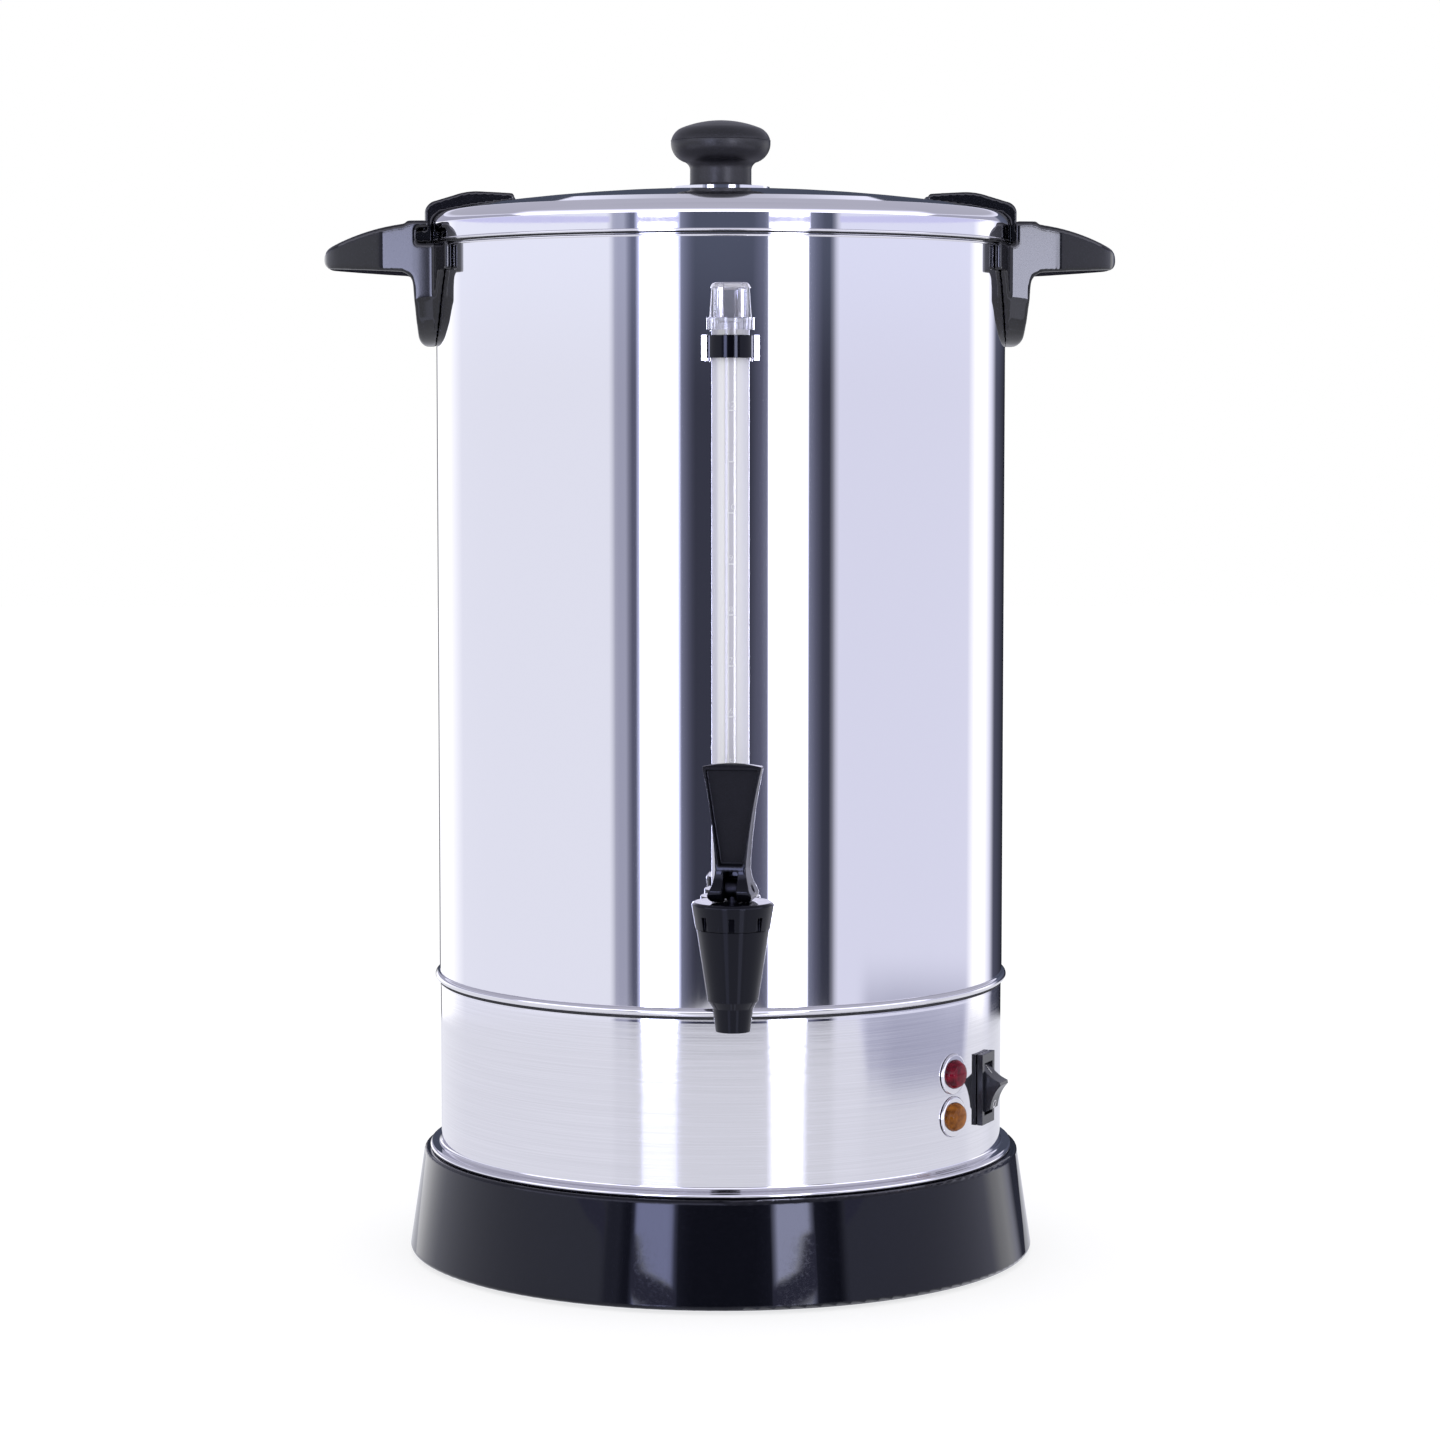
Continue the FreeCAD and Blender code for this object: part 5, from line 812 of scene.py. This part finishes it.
def moulded(name, grain, passes):
    """A copy of a solid with its sharp edges rounded: a fine skin of grains, smoothed."""
    mesh = nodes[name].data.copy()
    shape = bmesh.new()
    shape.from_mesh(mesh)
    bmesh.ops.remove_doubles(shape, verts=shape.verts, dist=WELD)
    shape.to_mesh(mesh)
    shape.free()
    piece = bpy.data.objects.new(name + "_moulded", mesh)
    scene.collection.objects.link(piece)
    skin = piece.modifiers.new("skin", "REMESH")
    skin.mode = "VOXEL"
    skin.voxel_size = grain
    wear = piece.modifiers.new("wear", "SMOOTH")
    wear.factor = 0.5
    wear.iterations = passes
    return bake(piece)


for name in ("handle_left", "handle_right"):
    handle = moulded(name, HANDLE_GRAIN, passes=12)
    for v in handle.data.vertices:
        along = min(max(abs(v.co.x) - GRIP_ROOT, 0), GRIP_BEND_LONG)
        aside = min(max((abs(v.co.y) - GRIP_CORE) / GRIP_SKIN, 0), 1)
        lean = GRIP_LEAN * along * (1 - along / GRIP_BEND_LONG)
        v.co.y -= copysign(lean * aside, v.co.y)
    keep(handle, phenolic, "urn", "black_plastic", name)

handle_screws = grow(
    "cross_head_handle_screws", screw_tree,
    [(side * HANDLE_SCREW_FACE, 0, z) for side in (-1, 1) for z in HANDLE_SCREW_HEIGHTS],
    [(-side, 0, 0) for side in (-1, 1) for z in HANDLE_SCREW_HEIGHTS],
    head_radius=4.4 * MM, head_height=2.6 * MM, shank_radius=2.5 * MM,
    shank_length=8.0 * MM, recess_depth=1.6 * MM, finish=zinc_steel)
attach(handle_screws, "urn")
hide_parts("handle_screws")

# Tee, gaskets and nut
# The tap's shank passes a black nylon tee and two gaskets and is held by a nut inside the tank.
# The tee is moulded hollow, so that water stands in the gauge as high as in the tank.

# Nylon: blue black with a clear shine and a faint flow swell of 7 mm.
nylon, tree, shader, place, corner = start_finish("black nylon, moulded", 0.4 * MM)
flow = add(tree, "ShaderNodeTexNoise", inputs={"Vector": place, "Scale": 150.0, "Detail": 2.0})
gloss = add(tree, "ShaderNodeMapRange", inputs={
    "Value": flow.outputs["Fac"], "To Min": 0.05, "To Max": 0.11})
bump = add(tree, "ShaderNodeBump", inputs={
    "Distance": 0.012 * MM, "Height": flow.outputs["Fac"], "Normal": corner})
feed(tree, shader, {"Base Color": linear("#0A0A11"), "Roughness": gloss.outputs["Result"],
                    "IOR": 1.33, "Specular Tint": (0.8, 0.83, 1.0, 1.0),
                    "Normal": bump.outputs["Normal"]})

# Silicone: milky and slightly soft at its edges.
silicone, tree, shader, place, corner = start_finish("white silicone, moulded", 0.3 * MM)
cloud = add(tree, "ShaderNodeTexNoise", inputs={"Vector": place, "Scale": 400.0})
tint = add(tree, "ShaderNodeValToRGB", inputs={"Fac": cloud.outputs["Fac"]},
           stops=[(0.3, linear("#D9DADD")), (0.7, linear("#EDEEF0"))])
feed(tree, shader, {"Base Color": tint.outputs["Color"], "Roughness": 0.5, "IOR": 1.41,
                    "Subsurface Weight": 0.15, "Subsurface Radius": (0.002, 0.002, 0.002),
                    "Normal": corner})

dress(nylon, "gauge_fitting", "tap_nut")
dress(rubber, "fitting_gasket")
dress(silicone, "inner_gasket", "gauge_seal")

# Sight gauge
# A thick acrylic tube stands in the tee. A black bush and an open bright clip hold its upper
# end, a screwed cap closes it, and ticks and numbers for the litres are printed on it in white.

TUBE_FRONT = (0, -145.2 * MM)
TUBE_REACH = 6.0 * MM
LITRE_ZERO = 124.4 * MM
LITRE_STEP = 20.67 * MM
LITRES_SHOWN = range(3, 13)
TICK_WIDE = 3.0 * MM
TICK_TALL = 0.55 * MM
TICK_DEEP = 0.3 * MM
NUMBER_TALL = 2.3 * MM
NUMBER_RISE = 2.3 * MM

# Acrylic tube with painted light: its colour is near white where the clear tube looks bright,
# with painted grey bands for the bore, painted white highlight lines and painted shade at its
# sides.
tube_acrylic, tree, shader, place, corner = start_finish("acrylic, extruded and slightly milky")
across = add(tree, "ShaderNodeMapRange", inputs={
    "Value": add(tree, "ShaderNodeSeparateXYZ", inputs={"Vector": place}).outputs["X"],
    "From Min": -TUBE_REACH, "From Max": TUBE_REACH})
# Painted light across the tube: highlight lines, grey bore bands and shade at both sides
painted_bore_light = add(tree, "ShaderNodeValToRGB", inputs={"Fac": across.outputs["Result"]}, stops=[
    (0.0, linear("#D9D9E6")), (0.1, linear("#FBFBFF")), (0.27, linear("#FFFFFF")),
    (0.31, linear("#D4D3DE")), (0.37, linear("#E6E5EE")), (0.41, linear("#FFFFFF")),
    (0.45, linear("#D8D7E2")), (0.58, linear("#D8D7E2")), (0.62, linear("#FFFFFF")),
    (0.67, linear("#DEDDE7")), (0.73, linear("#FAFAFE")), (1.0, linear("#E9E9F4"))])
drawn = add(tree, "ShaderNodeMapping", inputs={"Vector": place, "Scale": (300, 300, 6)})
drawn = add(tree, "ShaderNodeTexNoise", inputs={
    "Vector": drawn.outputs["Vector"], "Scale": 1.0, "Detail": 1.0})
gloss = add(tree, "ShaderNodeMapRange", inputs={
    "Value": drawn.outputs["Fac"], "To Min": 0.06, "To Max": 0.09})
feed(tree, shader, {"Base Color": painted_bore_light.outputs["Color"], "Roughness": gloss.outputs["Result"],
                    "IOR": 1.49, "Transmission Weight": 0.1})
dress(tube_acrylic, "gauge_tube")

# Clear acrylic: water white and glossy, moulded with flats that bend the light.
clear_acrylic, tree, shader, place, corner = start_finish("clear acrylic, moulded")
haze = add(tree, "ShaderNodeTexNoise", inputs={"Vector": place, "Scale": 300.0, "Detail": 2.0})
gloss = add(tree, "ShaderNodeMapRange", inputs={
    "Value": haze.outputs["Fac"], "To Min": 0.01, "To Max": 0.03})
feed(tree, shader, {"Base Color": linear("#F8F8FC"), "Roughness": gloss.outputs["Result"],
                    "IOR": 1.49, "Transmission Weight": 0.92})
dress(clear_acrylic, "gauge_cap")
dress(nylon, "gauge_bush")
dress(mirror_steel, "gauge_clip")
dress(zinc_steel, "clip_screw")
dress(silicone, "gauge_cap_seal")

# A short printed bar of the given size, set at each point of a mesh
tick_tree = bpy.data.node_groups.new("litre_ticks", "GeometryNodeTree")
tick_tree.is_modifier = True
for label, kind in (("Places", "NodeSocketGeometry"), ("Width", "NodeSocketFloat"),
                    ("Depth", "NodeSocketFloat"), ("Height", "NodeSocketFloat"),
                    ("Finish", "NodeSocketMaterial")):
    tick_tree.interface.new_socket(name=label, in_out="INPUT", socket_type=kind)
tick_tree.interface.new_socket(name="Ticks", in_out="OUTPUT", socket_type="NodeSocketGeometry")
given = add(tick_tree, "NodeGroupInput")
size = add(tick_tree, "ShaderNodeCombineXYZ", inputs={
    "X": given.outputs["Width"], "Y": given.outputs["Depth"], "Z": given.outputs["Height"]})
bar = add(tick_tree, "GeometryNodeMeshCube", inputs={"Size": size.outputs[0]})
ticks = add(tick_tree, "GeometryNodeInstanceOnPoints", inputs={
    "Points": given.outputs["Places"], "Instance": bar.outputs["Mesh"]})
ticks = add(tick_tree, "GeometryNodeRealizeInstances", inputs={"Geometry": ticks.outputs[0]})
ticks = add(tick_tree, "GeometryNodeSetMaterial", inputs={
    "Geometry": ticks.outputs[0], "Material": given.outputs["Finish"]})
add(tick_tree, "NodeGroupOutput", inputs={"Ticks": ticks.outputs[0]})

heights = [LITRE_ZERO + LITRE_STEP * litre for litre in LITRES_SHOWN]
ticks = grow("litre_ticks", tick_tree, [(*TUBE_FRONT, z) for z in heights],
             [(0, 0, 1)] * len(heights), width=TICK_WIDE, depth=TICK_DEEP, height=TICK_TALL,
             finish=ink)
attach(ticks, "urn")
numbers = printed("litre_numbers", [
    (str(litre), (*TUBE_FRONT, z + NUMBER_RISE)) for litre, z in zip(LITRES_SHOWN, heights)],
    NUMBER_TALL, (0, -1, 0), nodes["gauge_tube"])
keep(numbers, ink, "urn", "clear_plastic")

# Tap
# Body, bonnet and lever are moulded in nylon. The lever's foot straddles the blackened head of
# the stem, and the stem lifts a silicone cup from its seat against a spring.

LEVER_TURN = radians(-12)
# The faces that look along the lever's way, give or take a slack, lie sunk above its waist
LEVER_WAIST = 192.0 * MM
LEVER_FACE_SLACK = radians(14)
LEVER_GRAIN = 0.35 * MM

# Black oxide steel: nearly black with a dull metallic shine and a cloudy depth.
dark_steel, tree, shader, place, corner = start_finish("steel, black oxide", 0.2 * MM)
cloud = add(tree, "ShaderNodeTexNoise", inputs={"Vector": place, "Scale": 500.0, "Detail": 3.0})
tint = add(tree, "ShaderNodeValToRGB", inputs={"Fac": cloud.outputs["Fac"]},
           stops=[(0.3, linear("#1C1C22")), (0.7, linear("#2E2E36"))])
feed(tree, shader, {"Base Color": tint.outputs["Color"], "Metallic": 1.0, "Roughness": 0.38,
                    "Normal": corner})
dress(nylon, "tap_body", "tap_bonnet")
dress(dark_steel, "tap_stem", "lever_pin")
dress(zinc_steel, "tap_spring")
dress(silicone, "tap_seat_cup")

# Spark eroded nylon: matt black, drinks up the light in the lever's sunk faces.
eroded, tree, shader, place, corner = start_finish("black nylon, spark eroded")
pits = add(tree, "ShaderNodeTexNoise", inputs={"Vector": place, "Scale": 2500.0, "Detail": 2.0})
tint = add(tree, "ShaderNodeValToRGB", inputs={"Fac": pits.outputs["Fac"]},
           stops=[(0.4, linear("#121218")), (0.7, linear("#1A1A22"))])
bump = add(tree, "ShaderNodeBump", inputs={"Distance": 0.01 * MM, "Height": pits.outputs["Fac"]})
feed(tree, shader, {"Base Color": tint.outputs["Color"], "Roughness": 0.5, "IOR": 1.22,
                    "Normal": bump.outputs["Normal"]})

lever = keep(moulded("tap_lever", LEVER_GRAIN, passes=4), nylon,
             "tap_lever", "black_plastic", "tap_lever")
lever.data.materials.append(eroded)
lever_way = Vector((sin(LEVER_TURN), -cos(LEVER_TURN), 0))
for face in lever.data.polygons:
    fronting = abs(face.normal.dot(lever_way)) > cos(LEVER_FACE_SLACK)
    if fronting and face.center.z > LEVER_WAIST:
        face.material_index = 1

# Lid, ears and knob
# A pressed and polished lid with a silicone seal. Two phenolic ears hook under the handles'
# bars, and a turned phenolic knob with a fine parting line stands on the raised boss.

EAR_SCREW_CIRCLE = 103.0 * MM
EAR_SCREW_SPREAD = 6.0 * MM
EAR_SCREW_SEAT = 460.4 * MM
KNOB_SCREW_SEAT = 470.0 * MM
PARTING_RADIUS = 21.9 * MM
PARTING_HEIGHT = 490.8 * MM
PARTING_DEEP = 0.4 * MM
PARTING_PROUD = 0.12 * MM
PARTING_HALF = 0.25 * MM
LID_RADIUS = 126.9 * MM
SHOULDER_ROUND = 6.0 * MM
SHOULDER_FOOT = 453.0 * MM
SKIN_LIFT = 0.04 * MM
SKIN_DEEP = 0.3 * MM
HEM_RADIUS = 126.7 * MM
HEM_HEIGHT = 446.1 * MM
HEM_ROUND = 0.55 * MM
EAR_GRAIN = 0.45 * MM

# The knob is tumbled dull instead, so that it only sheens.
knob_phenolic = phenolic_finish("black phenolic, tumbled satin", "#15151B", "#26262E",
                                least_dull=0.34, most_dull=0.44, relief=0.004 * MM)

for name in ("ear_left", "ear_right"):
    keep(moulded(name, EAR_GRAIN, passes=5), phenolic, "lid", "black_plastic", name)
dress(knob_phenolic, "lid_knob")
parting = turned("knob_parting_line", [
    (PARTING_RADIUS - PARTING_DEEP, PARTING_HEIGHT - PARTING_HALF),
    (PARTING_RADIUS + PARTING_PROUD, PARTING_HEIGHT),
    (PARTING_RADIUS - PARTING_DEEP, PARTING_HEIGHT + PARTING_HALF)], steps=120)
keep(parting, knob_phenolic, "lid", "black_plastic")

# A thin skin over the lid's skirt and shoulder, drawn up outside and down again inside
shoulder = [
    (LID_RADIUS + SKIN_LIFT, HEM_HEIGHT),
    *arc(LID_RADIUS - SHOULDER_ROUND, SHOULDER_FOOT, SHOULDER_ROUND + SKIN_LIFT,
         range(0, 79, 3)),
    *arc(LID_RADIUS - SHOULDER_ROUND, SHOULDER_FOOT, SHOULDER_ROUND - SKIN_DEEP,
         range(78, -1, -3)),
    (LID_RADIUS - SKIN_DEEP, HEM_HEIGHT)]
keep(turned("lid_shoulder", shoulder, FINE_STEPS), mirror_steel, "lid", "polished_steel")
hem = turned("lid_hem", arc(HEM_RADIUS, HEM_HEIGHT, HEM_ROUND, range(0, 360, 30)))
keep(hem, mirror_steel, "lid", "polished_steel")
dress(mirror_steel, "lid_shell")
dress(silicone, "lid_seal")
ear_screws = grow(
    "cross_head_ear_screws", screw_tree,
    [(x * EAR_SCREW_CIRCLE, y * EAR_SCREW_SPREAD, EAR_SCREW_SEAT) for x, y in quarters],
    [(0, 0, -1)] * 4, head_radius=2.8 * MM, head_height=1.8 * MM, shank_radius=1.5 * MM,
    shank_length=4.3 * MM, recess_depth=1.1 * MM, finish=zinc_steel)
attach(ear_screws, "lid")
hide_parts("ear_screws")
knob_screw = grow(
    "cross_head_knob_screw", screw_tree, [(0, 0, KNOB_SCREW_SEAT)], [(0, 0, -1)],
    head_radius=5.0 * MM, head_height=3.0 * MM, shank_radius=2.5 * MM,
    shank_length=14.6 * MM, recess_depth=1.8 * MM, finish=zinc_steel)
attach(knob_screw, "lid")
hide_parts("knob_screw")
